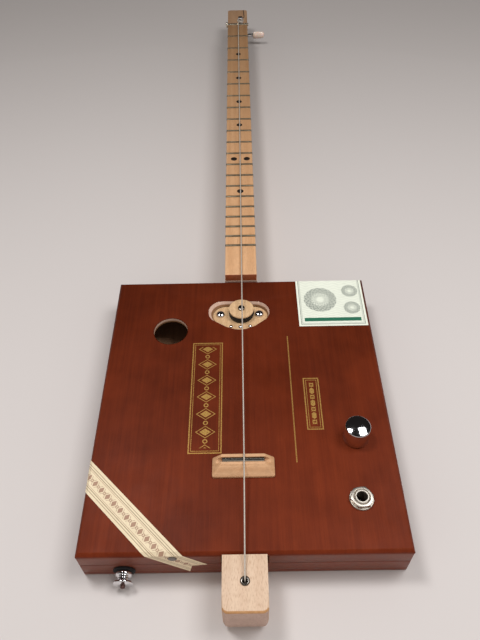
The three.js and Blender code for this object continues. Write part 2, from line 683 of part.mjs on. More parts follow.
function windingPoints() {
  const low = STICK_TOP + STRING_END_HEIGHT + WINDING_RISE;
  const start = new THREE.Vector3(-WINDING_RADIUS, 0, low);
  const steps = Math.round(WINDING_TURNS * WINDING_STEPS);
  const points = [];
  for (let step = 0; step <= steps; step += 1) {
    const turn = step / WINDING_STEPS;
    const angle = Math.PI - 2 * Math.PI * turn;
    points.push(new THREE.Vector3(WINDING_RADIUS * Math.cos(angle),
      WINDING_RADIUS * Math.sin(angle), low + WINDING_PITCH * turn));
  }
  const last = points[points.length - 1];
  const lead = last.clone().sub(points[points.length - 2]).setLength(STRING_DIAMETER);
  points.unshift(start.clone().add(new THREE.Vector3(0, -STRING_DIAMETER, 0)));
  points.push(last.clone().add(lead));
  return points.map((point) => point.add(new THREE.Vector3(POST_X, POST_Y, 0)));
}

function addWinding() {
  const points = windingPoints();
  const gap = leastGap(points, STRING_DIAMETER, WINDING_STEPS);
  console.log(`string_winding least gap to itself: ${gap.toFixed(2)} mm`);
  addPiece('string_winding', tube(points, STRING_DIAMETER / 2, WINDING_SIDES), STEEL_STRING);
}

// Tuner

function gearSolid() {
  const outline = [];
  const pitchAngle = (2 * Math.PI) / GEAR_TEETH;
  const rootRadius = WORM_DISTANCE - WORM_THREAD_LINE - WORM_THREAD_RADIUS - MESH_GAP;
  const tipRadius = WORM_DISTANCE - WORM_CORE_RADIUS - MESH_GAP;
  for (let tooth = 0; tooth < GEAR_TEETH; tooth += 1) {
    // A gap, not a tooth, faces the worm on the headward side
    const middle = Math.PI / 2 + (tooth + 0.5) * pitchAngle;
    for (const [radius, share] of [[rootRadius, -TOOTH_ROOT_SHARE], [tipRadius, -TOOTH_TIP_SHARE],
      [tipRadius, TOOTH_TIP_SHARE], [rootRadius, TOOTH_ROOT_SHARE]]) {
      const angle = middle + share * pitchAngle;
      outline.push([radius * Math.cos(angle), radius * Math.sin(angle)]);
    }
  }
  const gear = prism(polygon(outline), 'z', -GEAR_THICKNESS / 2, GEAR_THICKNESS / 2);
  // The teeth lean to follow the worm's thread
  const lean = GEAR_PITCH / (2 * Math.PI * WORM_THREAD_LINE * GEAR_RADIUS);
  const place = gear.attributes.position;
  for (let index = 0; index < place.count; index += 1) {
    const turn = lean * place.getZ(index);
    const x = place.getX(index);
    const y = place.getY(index);
    place.setXY(index, x * Math.cos(turn) - y * Math.sin(turn),
      x * Math.sin(turn) + y * Math.cos(turn));
  }
  return gear.translate(POST_X, POST_Y, WORM_Z);
}

function addPost() {
  const foot = WORM_Z - GEAR_THICKNESS / 2 - POST_FOOT_HEIGHT;
  const top = STICK_TOP + POST_RISE - foot;
  const radius = POST_DIAMETER / 2;
  const edge = radius / COARSE;
  const profile = [
    [0, 0], [POST_FOOT_DIAMETER / 2, 0], [POST_FOOT_DIAMETER / 2, POST_FOOT_HEIGHT],
    [radius, POST_FOOT_HEIGHT], [radius, top - edge], [radius - edge, top], [0, top],
  ];
  const hole = prism(circle(POST_Y, STICK_TOP + POST_RISE - POST_HOLE_BELOW_TOP,
    POST_HOLE_DIAMETER), 'x', POST_X - radius - OVERRUN, POST_X + radius + OVERRUN);
  addPiece('tuner_post',
    without(joined(turned(profile, POST_X, POST_Y, foot), gearSolid()), hole), CHROME);

  const bore = radius + RUN_GAP;
  const barrelTop = BUSHING_LENGTH + SEAT_GAP;
  const flange = BUSHING_FLANGE_DIAMETER / 2;
  addPiece('tuner_bushing', turned(tubeProfile(bore, [
    [BUSHING_BARREL_DIAMETER / 2, 0], [BUSHING_BARREL_DIAMETER / 2, barrelTop],
    [flange, barrelTop], [flange, barrelTop + BUSHING_FLANGE_HEIGHT],
  ]), POST_X, POST_Y, STICK_TOP - BUSHING_LENGTH), CHROME);
}

function addTunerPlate() {
  const plateTop = PLATE_UNDER_HEAD + TUNER_PLATE_THICKNESS;
  const half = TUNER_PLATE_WIDTH / 2;
  const sheet = roundedRectangle(POST_X - half, POST_X + half,
    POST_Y - TUNER_PLATE_MARGIN, WORM_Y + TUNER_PLATE_MARGIN, half / 2);
  sheet.holes = [circle(POST_X, POST_Y, POST_DIAMETER + 2 * RUN_GAP)];
  const ears = [POST_X - EAR_OFFSET - TUNER_EAR_THICKNESS, POST_X + EAR_OFFSET].map((from) => {
    const ear = rectangle(WORM_Y - TUNER_EAR_WIDTH / 2, WORM_Y + TUNER_EAR_WIDTH / 2,
      WORM_Z - TUNER_EAR_DROP, plateTop - TUNER_PLATE_THICKNESS / 2);
    ear.holes = [circle(WORM_Y, WORM_Z, WORM_SHAFT_DIAMETER + 2 * RUN_GAP)];
    return prism(ear, 'x', from, from + TUNER_EAR_THICKNESS);
  });
  addPiece('tuner_plate', joined(prism(sheet, 'z', PLATE_UNDER_HEAD, plateTop), ...ears), NICKEL);
}

function wormThreadPoints() {
  const steps = WORM_THREAD_TURNS * FINE;
  const points = [];
  for (let step = 0; step <= steps; step += 1) {
    const turn = step / FINE - WORM_THREAD_TURNS / 2;
    // The thread crosses the gear's side at the post's line
    const angle = Math.PI + 2 * Math.PI * turn;
    points.push(new THREE.Vector3(POST_X + GEAR_PITCH * turn,
      WORM_Y + WORM_THREAD_LINE * Math.cos(angle), WORM_Z + WORM_THREAD_LINE * Math.sin(angle)));
  }
  return points;
}

function addWormShaft() {
  const start = POST_X - EAR_OFFSET - TUNER_EAR_THICKNESS - WORM_SHAFT_END;
  const end = BUTTON_REACH + BUTTON_BORE_DEPTH - SEAT_GAP;
  const shaft = WORM_SHAFT_DIAMETER / 2;
  const wormStart = POST_X - WORM_LENGTH / 2 - start;
  const profile = [
    [0, 0], [shaft, 0], [shaft, wormStart], [WORM_CORE_RADIUS, wormStart],
    [WORM_CORE_RADIUS, wormStart + WORM_LENGTH], [shaft, wormStart + WORM_LENGTH],
    [shaft, end - start], [0, end - start],
  ];
  const core = turned(profile, 0, 0, 0, FINE).rotateY(Math.PI / 2);
  core.translate(start, WORM_Y, WORM_Z);
  const thread = tube(wormThreadPoints(), WORM_THREAD_RADIUS, WINDING_SIDES);
  addPiece('tuner_worm_shaft', joined(core, thread), CHROME);
}

function addButton() {
  const radius = BUTTON_WIDTH / 2;
  const profileShares = [[0, 0], [0.72, 0], [0.95, 0.06], [1, 0.2], [0.96, 0.72],
    [0.8, 0.93], [0.5, 1], [0, 1]];
  const profile = profileShares.map(([across, along]) => [radius * across, BUTTON_LENGTH * along]);
  const barrel = turned(profile, 0, 0, 0);
  barrel.rotateY(Math.PI / 2).scale(1, 1, BUTTON_THICKNESS / BUTTON_WIDTH);
  barrel.translate(BUTTON_REACH, WORM_Y, WORM_Z);
  const bore = prism(circle(WORM_Y, WORM_Z, WORM_SHAFT_DIAMETER + 2 * SEAT_GAP), 'x',
    BUTTON_REACH - OVERRUN, BUTTON_REACH + BUTTON_BORE_DEPTH);
  addPiece('tuner_button', without(barrel, bore), PEARL);
}

// Pickup

function pickupScrewPlaces() {
  const y = PICKUP_Y - PICKUP_SCREW_SHIFT;
  const reach = PICKUP_SCREW_SPREAD / 2;
  return [[PICKUP_SCREW_MIDDLE_X - reach, y], [PICKUP_SCREW_MIDDLE_X + reach, y]];
}

function domeHead(shank, below, head, height) {
  const domeShares = [[1, 0], [1, 0.33], [0.8, 0.75], [0.4, 1], [0, 1]];
  return [
    [0, 0], [shank, 0], [shank, below],
    ...domeShares.map(([across, up]) => [head * across, below + height * up]),
  ];
}

function addPickup() {
  const half = PICKUP_PLATE_WIDTH / 2;
  const depth = PICKUP_PLATE_DEPTH / 2;
  const outline = roundedRectangle(PICKUP_PLATE_X - half, PICKUP_PLATE_X + half,
    PLATE_Y - depth, PLATE_Y + depth, PICKUP_PLATE_RADIUS);
  outline.holes = pickupScrewPlaces().map(
    ([x, y]) => circle(x, y, PICKUP_SCREW_DIAMETER + 2 * SEAT_GAP));
  addPiece('pickup_plate', prism(outline, 'z', PLATE_BOTTOM, PLATE_TOP), WOOD_PALE);

  const poleBore = POLE_DIAMETER / 2 + SEAT_GAP;
  const coilBottom = PLATE_TOP + SEAT_GAP;
  const capBottom = coilBottom + COIL_HEIGHT + SEAT_GAP;
  addPiece('pickup_coil', turned(tubeProfile(poleBore, [
    [COIL_DIAMETER / 2, 0], [COIL_DIAMETER / 2, COIL_HEIGHT],
  ]), 0, PICKUP_Y, coilBottom), BLACK_TAPE);
  addPiece('pickup_cap', turned(tubeProfile(poleBore, [
    [CAP_DIAMETER / 2, 0], [CAP_DIAMETER / 2, CAP_HEIGHT],
  ]), 0, PICKUP_Y, capBottom), WOOD_PALE);
  const poleFoot = PLATE_TOP + SEAT_GAP;
  const poleLength = capBottom + CAP_HEIGHT + SEAT_GAP - poleFoot;
  addPiece('pickup_pole', turned(
    domeHead(POLE_DIAMETER / 2, poleLength, POLE_HEAD_DIAMETER / 2, POLE_HEAD_HEIGHT),
    0, PICKUP_Y, poleFoot, FINE), CHROME);
  pickupScrewPlaces().forEach(([x, y], index) => {
    addPiece(`pickup_screw_${['left', 'right'][index]}`, turned(
      domeHead(PICKUP_SCREW_DIAMETER / 2, PICKUP_SCREW_LENGTH + SEAT_GAP,
        PICKUP_SCREW_HEAD_DIAMETER / 2, PICKUP_SCREW_HEAD_HEIGHT),
      x, y, PLATE_TOP - PICKUP_SCREW_LENGTH, FINE), CHROME);
  });
}

// Volume control and jack

function addVolumeControl() {
  const bore = POT_SHAFT_DIAMETER / 2 + RUN_GAP;
  const canTop = LID_UNDERSIDE - SEAT_GAP;
  const canBottom = canTop - POT_CAN_HEIGHT;
  const can = POT_CAN_DIAMETER / 2;
  const thread = POT_THREAD_DIAMETER / 2;
  const nut = POT_NUT_DIAMETER / 2;
  const nutFoot = BOX_HEIGHT + SEAT_GAP - canBottom;
  const threadTop = BOX_HEIGHT + POT_THREAD_RISE - canBottom;
  const body = turned(tubeProfile(bore, [
    [can, 0], [can, POT_CAN_HEIGHT], [thread, POT_CAN_HEIGHT], [thread, nutFoot],
    [nut, nutFoot], [nut, nutFoot + POT_NUT_HEIGHT], [thread, nutFoot + POT_NUT_HEIGHT],
    [thread, threadTop],
  ]), KNOB_X, KNOB_Y, canBottom);
  const tab = block(KNOB_X - can - POT_TAB_LENGTH, KNOB_X - can / 2,
    KNOB_Y - POT_TAB_WIDTH / 2, KNOB_Y + POT_TAB_WIDTH / 2,
    canTop - POT_TAB_THICKNESS, canTop);
  addPiece('pot_body', joined(body, tab), NICKEL);

  const knobBottom = BOX_HEIGHT + KNOB_LIFT;
  const shaftTop = BOX_HEIGHT + KNOB_HEIGHT - KNOB_ROOF;
  const shaftBottom = canBottom + SEAT_GAP;
  const shaft = POT_SHAFT_DIAMETER / 2;
  addPiece('pot_shaft', turned([[0, 0], [shaft, 0], [shaft, shaftTop - shaftBottom],
    [0, shaftTop - shaftBottom]], KNOB_X, KNOB_Y, shaftBottom), NICKEL);

  const rim = BOX_HEIGHT + KNOB_HEIGHT - knobBottom;
  const base = KNOB_BASE_DIAMETER / 2;
  const top = KNOB_TOP_DIAMETER / 2;
  const recess = base - KNOB_WALL;
  const shaftBore = shaft + SEAT_GAP;
  const boreTop = shaftTop + SEAT_GAP - knobBottom;
  const crownShares = [[0.7, 0.5], [0.35, 0.88], [0, 1]];
  addPiece('volume_knob', turned([
    [0, boreTop], [shaftBore, boreTop], [shaftBore, KNOB_RECESS_DEPTH],
    [recess, KNOB_RECESS_DEPTH], [recess, 0], [base, 0],
    [top, rim - KNOB_DOME / 2], [top - KNOB_DOME / 2, rim],
    ...crownShares.map(([across, up]) => [top * across, rim + KNOB_DOME * up]),
  ], KNOB_X, KNOB_Y, knobBottom, 3 * FINE), CHROME);
}

function hexagon(x, y, acrossFlats) {
  const radius = acrossFlats / Math.sqrt(3);
  const corners = [0, 1, 2, 3, 4, 5].map((corner) => (Math.PI * corner) / 3);
  return polygon(corners.map((angle) => [x + radius * Math.cos(angle), y + radius * Math.sin(angle)]));
}

function addJack() {
  const bore = JACK_BORE_DIAMETER / 2;
  const thread = JACK_THREAD_DIAMETER / 2;
  const frameTop = LID_UNDERSIDE - SEAT_GAP;
  const frameBottom = frameTop - JACK_FRAME_THICKNESS;
  const barrelFoot = frameBottom - JACK_BARREL_DROP;
  const barrel = turned(tubeProfile(bore, [
    [thread, 0], [thread, BOX_HEIGHT + JACK_THREAD_RISE - barrelFoot],
  ]), JACK_X, JACK_Y, barrelFoot);
  const half = JACK_FRAME_WIDTH / 2;
  const frame = rectangle(JACK_X - half, JACK_X + half, JACK_Y - half, JACK_Y + half);
  frame.holes = [circle(JACK_X, JACK_Y, 2 * thread - SEAT_GAP)];
  const springFoot = frameTop - JACK_SPRING_DROP;
  const inner = JACK_X + half - JACK_SPRING_THICKNESS;
  const leaf = polygon([
    [JACK_X + half, frameBottom + JACK_FRAME_THICKNESS / 2], [inner, frameBottom],
    [inner, springFoot + JACK_SPRING_THICKNESS], [JACK_X, springFoot + JACK_SPRING_THICKNESS],
    [JACK_X, springFoot], [JACK_X + half, springFoot],
  ].reverse());
  addPiece('jack_body', joined(
    barrel,
    prism(frame, 'z', frameBottom, frameTop),
    prism(leaf, 'y', JACK_Y - JACK_SPRING_WIDTH / 2, JACK_Y + JACK_SPRING_WIDTH / 2),
  ), NICKEL);

  const washerBottom = BOX_HEIGHT + SEAT_GAP;
  const nutBottom = washerBottom + JACK_WASHER_THICKNESS;
  const nutBore = circle(JACK_X, JACK_Y, JACK_THREAD_DIAMETER + 2 * SEAT_GAP);
  const through = prism(nutBore, 'z', washerBottom - OVERRUN,
    nutBottom + JACK_NUT_HEIGHT + OVERRUN, FINE);
  addPiece('jack_nut', without(joined(
    prism(circle(JACK_X, JACK_Y, JACK_WASHER_DIAMETER), 'z', washerBottom, nutBottom, FINE),
    prism(hexagon(JACK_X, JACK_Y, JACK_NUT_ACROSS_FLATS), 'z',
      nutBottom - JACK_WASHER_THICKNESS / 2, nutBottom + JACK_NUT_HEIGHT),
  ), through), CHROME);
}

// Strap button

function addStrapButton() {
  const screw = STRAP_SCREW_DIAMETER / 2;
  const feltFoot = SEAT_GAP;
  const buttonFoot = feltFoot + STRAP_FELT_THICKNESS + SEAT_GAP;
  const standUp = (geometry) => geometry.rotateX(Math.PI / 2)
    .translate(STRAP_X, -HALF_LENGTH, STRAP_HEIGHT);
  const place = (height) => STRAP_SCREW_REACH + height;
  const rim = buttonFoot + STRAP_LENGTH;
  const profile = [
    [0, 0], [screw, 0], [screw, place(buttonFoot)],
    [STRAP_FOOT_DIAMETER / 2, place(buttonFoot)],
    [STRAP_FOOT_DIAMETER / 2, place(buttonFoot + STRAP_RIM)],
    [STRAP_WAIST_DIAMETER / 2, place(buttonFoot + 2 * STRAP_RIM)],
    [STRAP_WAIST_DIAMETER / 2, place(rim - 2 * STRAP_RIM)],
    [STRAP_FLANGE_DIAMETER / 2, place(rim - STRAP_RIM)],
    [STRAP_FLANGE_DIAMETER / 2, place(rim)], [screw, place(rim)],
    [screw, place(rim + STRAP_SCREW_HEAD)], [0, place(rim + STRAP_SCREW_HEAD)],
  ];
  addPiece('strap_button', standUp(turned(profile, 0, 0, -STRAP_SCREW_REACH)), CHROME);
  addPiece('strap_washer', standUp(turned(tubeProfile(screw + SEAT_GAP, [
    [STRAP_FELT_DIAMETER / 2, 0], [STRAP_FELT_DIAMETER / 2, STRAP_FELT_THICKNESS],
  ]), 0, 0, feltFoot)), BLACK_FELT);
}

addBoards();
addWalls('lid', SEAM_HEIGHT + SEAT_GAP / 2, LID_UNDERSIDE - SEAT_GAP,
  STICK_WIDTH / 2 + LID_NOTCH_GAP);
addWalls('tray', TRAY_FLOOR, SEAM_HEIGHT - SEAT_GAP / 2, STICK_WIDTH / 2 + SEAT_GAP,
  [circle(STRAP_X, STRAP_HEIGHT, STRAP_SCREW_DIAMETER + 2 * SEAT_GAP)]);
addStick();
addFretboard();
addFrets();
addNut();
addBridge();
addString();
addWinding();
addPost();
addTunerPlate();
addWormShaft();
addButton();
addPickup();
addVolumeControl();
addJack();
addStrapButton();

export default guitar;
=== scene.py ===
"""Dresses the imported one-string guitar: wood, metal, paper and gilding, then floor, lights and camera.

Sizes in the classes are in millimetres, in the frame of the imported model: +X is the knob side,
+Y runs to the headstock, +Z is up, and the origin is the centre of the box's back.
"""
import logging
import math
from collections.abc import Callable, Sequence
from dataclasses import dataclass
from enum import Enum
from functools import reduce

import bpy
from mathutils import Matrix, Vector


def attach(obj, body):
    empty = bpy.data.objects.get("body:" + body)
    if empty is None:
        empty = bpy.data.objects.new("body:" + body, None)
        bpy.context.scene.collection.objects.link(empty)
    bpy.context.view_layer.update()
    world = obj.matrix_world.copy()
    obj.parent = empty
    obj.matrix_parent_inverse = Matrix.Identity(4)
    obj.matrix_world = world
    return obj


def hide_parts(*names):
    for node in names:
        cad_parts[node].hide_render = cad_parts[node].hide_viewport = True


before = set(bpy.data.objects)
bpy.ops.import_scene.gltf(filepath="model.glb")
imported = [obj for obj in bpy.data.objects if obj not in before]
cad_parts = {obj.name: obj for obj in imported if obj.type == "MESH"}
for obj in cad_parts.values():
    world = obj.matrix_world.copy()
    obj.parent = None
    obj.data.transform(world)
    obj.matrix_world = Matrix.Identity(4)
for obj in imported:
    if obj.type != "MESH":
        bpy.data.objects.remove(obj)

log = logging.getLogger("guitar")

MM = 0.001
FULL_TURN = 2 * math.pi
ORIGIN = (0.0, 0.0, 0.0)
CHART = 100.0  # mm of paper for each unit of its UV map

# Sizes and places that several parts share, in mm
HALF_WIDTH, HALF_LENGTH, LID_TOP, BEVEL = 98.05, 110.5, 30.0, 1.8
LID_UNDER = 26.1
POST = (3.8, 593.9975)
POST_HOLE_Z = 38.9
NUT, NUT_RADIUS = (581.1975, 36.0), 2.1
FERRULE_Y = -125.5
PICKUP_SCREWS = ((-16.3, 77.5), (13.9, 77.5))
HEADSTOCK_UNDER = 18.0

Thing = bpy.types.Object
Socket = bpy.types.NodeSocket
Pair = tuple[float, float]
Point = tuple[float, float, float]
Colour = tuple[float, float, float, float]


class Body(Enum):
    """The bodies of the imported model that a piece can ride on."""

    GUITAR = "guitar"
    POST = "string_post"
    WORM = "worm"
    VOLUME = "volume"


class Line(Enum):
    """A line that a piece is turned round or drawn out along, with a direction square to it."""

    UP = ((0.0, 0.0, 1.0), (1.0, 0.0, 0.0))
    RIGHT = ((1.0, 0.0, 0.0), (0.0, 1.0, 0.0))
    TAILWARD = ((0.0, -1.0, 0.0), (1.0, 0.0, 0.0))

    @property
    def along(self) -> Vector:
        """The direction of the line."""
        return Vector(self.value[0])

    @property
    def across(self) -> Vector:
        """The direction in which a radius is measured."""
        return Vector(self.value[1])


class Join(Enum):
    """What one solid does to another."""

    AWAY = "DIFFERENCE"
    TOGETHER = "UNION"
    COMMON = "INTERSECT"


class Kind(Enum):
    """What is chosen in edit mode."""

    POINTS = "VERT"
    EDGES = "EDGE"
    FACES = "FACE"


# Handling

def put_down() -> None:
    """Leave edit mode and choose nothing."""
    if bpy.context.mode != "OBJECT":
        bpy.ops.object.mode_set(mode="OBJECT")
    bpy.ops.object.select_all(action="DESELECT")


def take_up(piece: Thing, *others: Thing) -> None:
    """Choose pieces, the first of them as the active one.

    Args:
        piece: The active piece.
        others: More pieces to choose.
    """
    put_down()
    for each in (piece, *others):
        each.select_set(True)
    bpy.context.view_layer.objects.active = piece


def work_on(piece: Thing) -> None:
    """Open a piece in edit mode with all of it chosen."""
    take_up(piece)
    bpy.ops.object.mode_set(mode="EDIT")
    bpy.ops.mesh.select_mode(type=Kind.POINTS.value)
    bpy.ops.mesh.select_all(action="SELECT")


def modify(piece: Thing, kind: str, **settings: object) -> None:
    """Change a piece's mesh with one modifier.

    Args:
        piece: The piece.
        kind: The modifier's type.
        settings: Its properties.
    """
    take_up(piece)
    bpy.ops.object.modifier_add(type=kind)
    step = piece.modifiers[-1]
    for name, value in settings.items():
        setattr(step, name, value)
    bpy.ops.object.modifier_apply(modifier=step.name)


def pull(x: float, y: float, z: float) -> None:
    """Draw what is chosen out by a distance in mm."""
    bpy.ops.mesh.extrude_region_move(TRANSFORM_OT_translate={"value": Vector((x, y, z)) * MM})


def settle(piece: Thing) -> None:
    """Move a piece's place, turn and size into its mesh."""
    take_up(piece)
    bpy.ops.object.transform_apply(location=True, rotation=True, scale=True)
    put_down()


def close_skin(piece: Thing) -> None:
    """Merge points that lie on each other and turn every face outwards."""
    work_on(piece)
    bpy.ops.mesh.remove_doubles(threshold=0.000001)
    bpy.ops.mesh.normals_make_consistent(inside=False)
    put_down()


def choose(piece: Thing, kind: Kind, test: Callable[[list[Vector]], bool]) -> None:
    """Open a piece in edit mode with only the points, edges or faces chosen that pass a test.

    Args:
        piece: The piece to look through.
        kind: What is chosen.
        test: Takes the places in mm of all points of one item, and says whether it is wanted.
    """
    work_on(piece)
    bpy.ops.mesh.select_mode(type=kind.value)
    bpy.ops.mesh.select_all(action="DESELECT")
    bpy.ops.object.mode_set(mode="OBJECT")
    mesh = piece.data
    places = [point.co / MM for point in mesh.vertices]
    if kind is Kind.POINTS:
        for point, place in zip(mesh.vertices, places):
            point.select = test([place])
    else:
        for item in mesh.edges if kind is Kind.EDGES else mesh.polygons:
            item.select = test([places[index] for index in item.vertices])
    bpy.ops.object.mode_set(mode="EDIT")


def all_at(places: list[Vector], axis: int, *values: float, slack: float = 0.02) -> bool:
    """Say whether every place has one of the values, on either side of zero, along an axis."""
    return all(any(abs(abs(place[axis]) - abs(value)) < slack for value in values) for place in places)


# Making

def block(name: str, low: Point, high: Point) -> Thing:
    """Start a piece as a block between two corners.

    Args:
        name: The piece's name.
        low: The lowest corner.
        high: The highest corner.

    Returns:
        The block, with its place in its mesh.
    """
    put_down()
    low_corner, high_corner = Vector(low) * MM, Vector(high) * MM
    bpy.ops.mesh.primitive_cube_add(
        size=1.0, location=(low_corner + high_corner) / 2, scale=high_corner - low_corner)
    piece = bpy.context.active_object
    piece.name = name
    settle(piece)
    return piece


def trace(name: str, places: Sequence[Vector], closed: bool = False) -> Thing:
    """Draw a wire from place to place.

    Args:
        name: The wire's name.
        places: The places in mm.
        closed: Whether the wire is closed and filled with one face.

    Returns:
        The wire.
    """
    put_down()
    bpy.ops.mesh.primitive_plane_add(size=MM, location=places[0] * MM)
    wire = bpy.context.active_object
    wire.name = name
    work_on(wire)
    bpy.ops.mesh.merge(type="CENTER")
    for before, after in zip(places, places[1:]):
        bpy.ops.mesh.extrude_vertices_move(TRANSFORM_OT_translate={"value": (after - before) * MM})
    bpy.ops.mesh.select_all(action="SELECT")
    if closed:
        bpy.ops.mesh.edge_face_add()
    settle(wire)
    return wire


def turn(name: str, profile: Sequence[Pair], foot: Point, line: Line = Line.UP, steps: int = 48) -> Thing:
    """Turn a piece from its profile, as on a lathe.

    Args:
        name: The piece's name.
        profile: Pairs of radius and height, from one end of the line to the other.
        foot: Where the height is nought.
        line: The line that it is turned round.
        steps: Facets round it.

    Returns:
        The turned piece.
    """
    start = Vector(foot)
    piece = trace(name, [start + line.across * radius + line.along * height for radius, height in profile])
    work_on(piece)
    bpy.ops.mesh.spin(steps=steps, angle=FULL_TURN, center=start * MM, axis=line.along)
    close_skin(piece)
    return piece


def draw_out(name: str, outline: Sequence[Pair], line: Line, low: float, high: float) -> Thing:
    """Draw an outline out into a prism.

    Args:
        name: The piece's name.
        outline: Corners square to the line: x and y for UP, y and z for RIGHT, x and z for TAILWARD.
        line: The line that it is drawn out along.
        low: Its lower end along x, y or z.
        high: Its upper end.

    Returns:
        The prism.
    """
    lay = {
        Line.UP: lambda first, second, depth: Vector((first, second, depth)),
        Line.RIGHT: lambda first, second, depth: Vector((depth, first, second)),
        Line.TAILWARD: lambda first, second, depth: Vector((first, depth, second)),
    }[line]
    piece = trace(name, [lay(*corner, low) for corner in outline], closed=True)
    work_on(piece)
    pull(*(lay(0, 0, high) - lay(0, 0, low)))
    close_skin(piece)
    return piece


def screw_thread(name: str, foot: Point, radii: Pair, pitch: float, turns: int) -> Thing:
    """Cut a helical thread along x.

    Args:
        name: The piece's name.
        foot: The middle of its left end.
        radii: At the root and at the crest.
        pitch: From crest to crest.
        turns: How many times it goes round.

    Returns:
        The thread, closed at both ends.
    """
    along, across = Line.RIGHT.along, Line.RIGHT.across
    root, crest = radii
    shares = [(root, 0.0), (root, 0.15), (crest, 0.45), (crest, 0.6), (root, 0.9), (root, 1.0)]
    piece = trace(name, [across * radius + along * (share * pitch) for radius, share in shares])
    modify(piece, "SCREW", axis="X", angle=FULL_TURN, steps=20, render_steps=20, screw_offset=pitch * MM,
           iterations=turns + 2, use_merge_vertices=True, merge_threshold=0.00001)
    for share, keep in ((1.0, 1), (1.0 + turns, -1)):
        work_on(piece)
        bpy.ops.mesh.bisect(plane_co=along * pitch * share * MM, plane_no=along * -keep, use_fill=True,
                            clear_outer=True)
    piece.location = (Vector(foot) - along * pitch) * MM
    settle(piece)
    close_skin(piece)
    return piece


def combine(piece: Thing, tool: Thing, how: Join = Join.AWAY) -> None:
    """Cut a piece with another, or make the two one solid.

    Args:
        piece: The piece that stays.
        tool: The piece that is used up.
        how: What the tool does.
    """
    modify(piece, "BOOLEAN", operation=how.value, solver="EXACT", object=tool)
    take_up(tool)
    bpy.ops.object.delete()


def bore(piece: Thing, foot: Point, radius: float, low: float, high: float, line: Line = Line.UP,
         steps: int = 32) -> None:
    """Drill a round hole in a piece.

    Args:
        piece: The piece.
        foot: A place on the hole's line.
        radius: The hole's radius.
        low: Where it starts along the line, from there.
        high: Where it ends.
        line: The line.
        steps: Facets round it.
    """
    combine(piece, turn("bore", [(0, low), (radius, low), (radius, high), (0, high)], foot, line, steps))


def gather(piece: Thing, *others: Thing) -> Thing:
    """Put pieces together in one object without changing their skins."""
    if others:
        take_up(piece, *others)
        bpy.ops.object.join()
    put_down()
    return piece


def copied(piece: Thing, name: str, shift: Point) -> Thing:
    """Copy a piece with its own mesh to another place.

    Args:
        piece: The piece to copy.
        name: The copy's name.
        shift: How far it moves, in mm.

    Returns:
        The copy.
    """
    take_up(piece)
    bpy.ops.object.duplicate(linked=False)
    copy = bpy.context.active_object
    copy.name = name
    copy.location = Vector(shift) * MM
    settle(copy)
    return copy


def repeated(first: Thing, places: Sequence[Pair]) -> Thing:
    """Copy a piece, which stands at the first of some places, to the others, and join the copies to it."""
    start_x, start_y = places[0]
    return gather(first, *(copied(first, "copy", (x - start_x, y - start_y, 0.0)) for x, y in places[1:]))


def round_edges(piece: Thing, size: float, test: Callable[[list[Vector]], bool], steps: int = 3) -> None:
    """Bevel the edges that pass a test.

    Args:
        piece: The piece.
        size: The bevel's width in mm.
        test: Takes the places of an edge's two ends.
        steps: Facets of the bevel; one makes a flat chamfer.
    """
    choose(piece, Kind.EDGES, test)
    bpy.ops.mesh.bevel(offset=size * MM, offset_type="OFFSET", segments=steps, profile=0.5, affect="EDGES",
                       clamp_overlap=True)
    put_down()


def soften(piece: Thing, size: float, steps: int = 2, angle: float = 30.0) -> None:
    """Round every sharp edge a little.

    Args:
        piece: The piece.
        size: The rounding's width in mm.
        steps: Its facets.
        angle: The least angle in degrees of an edge that counts as sharp.
    """
    modify(piece, "BEVEL", width=size * MM, segments=steps, limit_method="ANGLE",
           angle_limit=math.radians(angle),
           use_clamp_overlap=True, harden_normals=False)


def smooth(piece: Thing, angle: float = 35.0) -> Thing:
    """Shade a piece smooth across edges flatter than an angle in degrees, and give it back."""
    take_up(piece)
    bpy.ops.object.shade_smooth_by_angle(angle=math.radians(angle))
    put_down()
    return piece


def arc(middle: Pair, radius: float, start: float, end: float, steps: int) -> list[Pair]:
    """List the corners of an arc, with its angles in degrees."""
    angles = [math.radians(start + (end - start) * step / steps) for step in range(steps + 1)]
    return [(middle[0] + radius * math.cos(angle), middle[1] + radius * math.sin(angle)) for angle in angles]


def rounded_box(left: float, right: float, low: float, high: float, radius: float,
                steps: int = 8) -> list[Pair]:
    """List the corners of a rectangle with rounded corners."""
    left, right, low, high = left + radius, right - radius, low + radius, high - radius
    middles = ((right, low), (right, high), (left, high), (left, low))
    return [corner for quarter, middle in enumerate(middles)
            for corner in arc(middle, radius, 90 * quarter - 90, 90 * quarter, steps)]


def flowing(places: Sequence[Vector], steps: int) -> list[Vector]:
    """Lay a smooth line through a few places.

    Args:
        places: The places that the line goes through.
        steps: Places between each two of them.

    Returns:
        The places along the line.
    """
    line = []
    padded = [places[0] * 2 - places[1], *places, places[-1] * 2 - places[-2]]
    for before, first, second, after in zip(padded, padded[1:], padded[2:], padded[3:]):
        for step in range(steps):
            share = step / steps
            line.append(0.5 * (2 * first + (second - before) * share
                               + (2 * before - 5 * first + 4 * second - after) * share ** 2
                               + (3 * first - before - 3 * second + after) * share ** 3))
    return [*line, places[-1]]


def give_materials(piece: Thing, *materials: bpy.types.Material) -> None:
    """Give a piece its materials, in order."""
    for material in materials:
        piece.data.materials.append(material)


def hand_over(piece: Thing, slot: str, *nodes: str, finish: bpy.types.Material | None = None,
              body: Body = Body.GUITAR) -> None:
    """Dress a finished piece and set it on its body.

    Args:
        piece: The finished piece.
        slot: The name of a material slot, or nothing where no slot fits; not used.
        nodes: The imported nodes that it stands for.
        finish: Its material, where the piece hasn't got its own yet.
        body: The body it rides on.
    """
    put_down()
    if finish:
        give_materials(piece, finish)
    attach(piece, body.value)
    if nodes:
        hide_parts(*nodes)
    log.info("%s: %d faces, rides on %s", piece.name, len(piece.data.polygons), body.value)


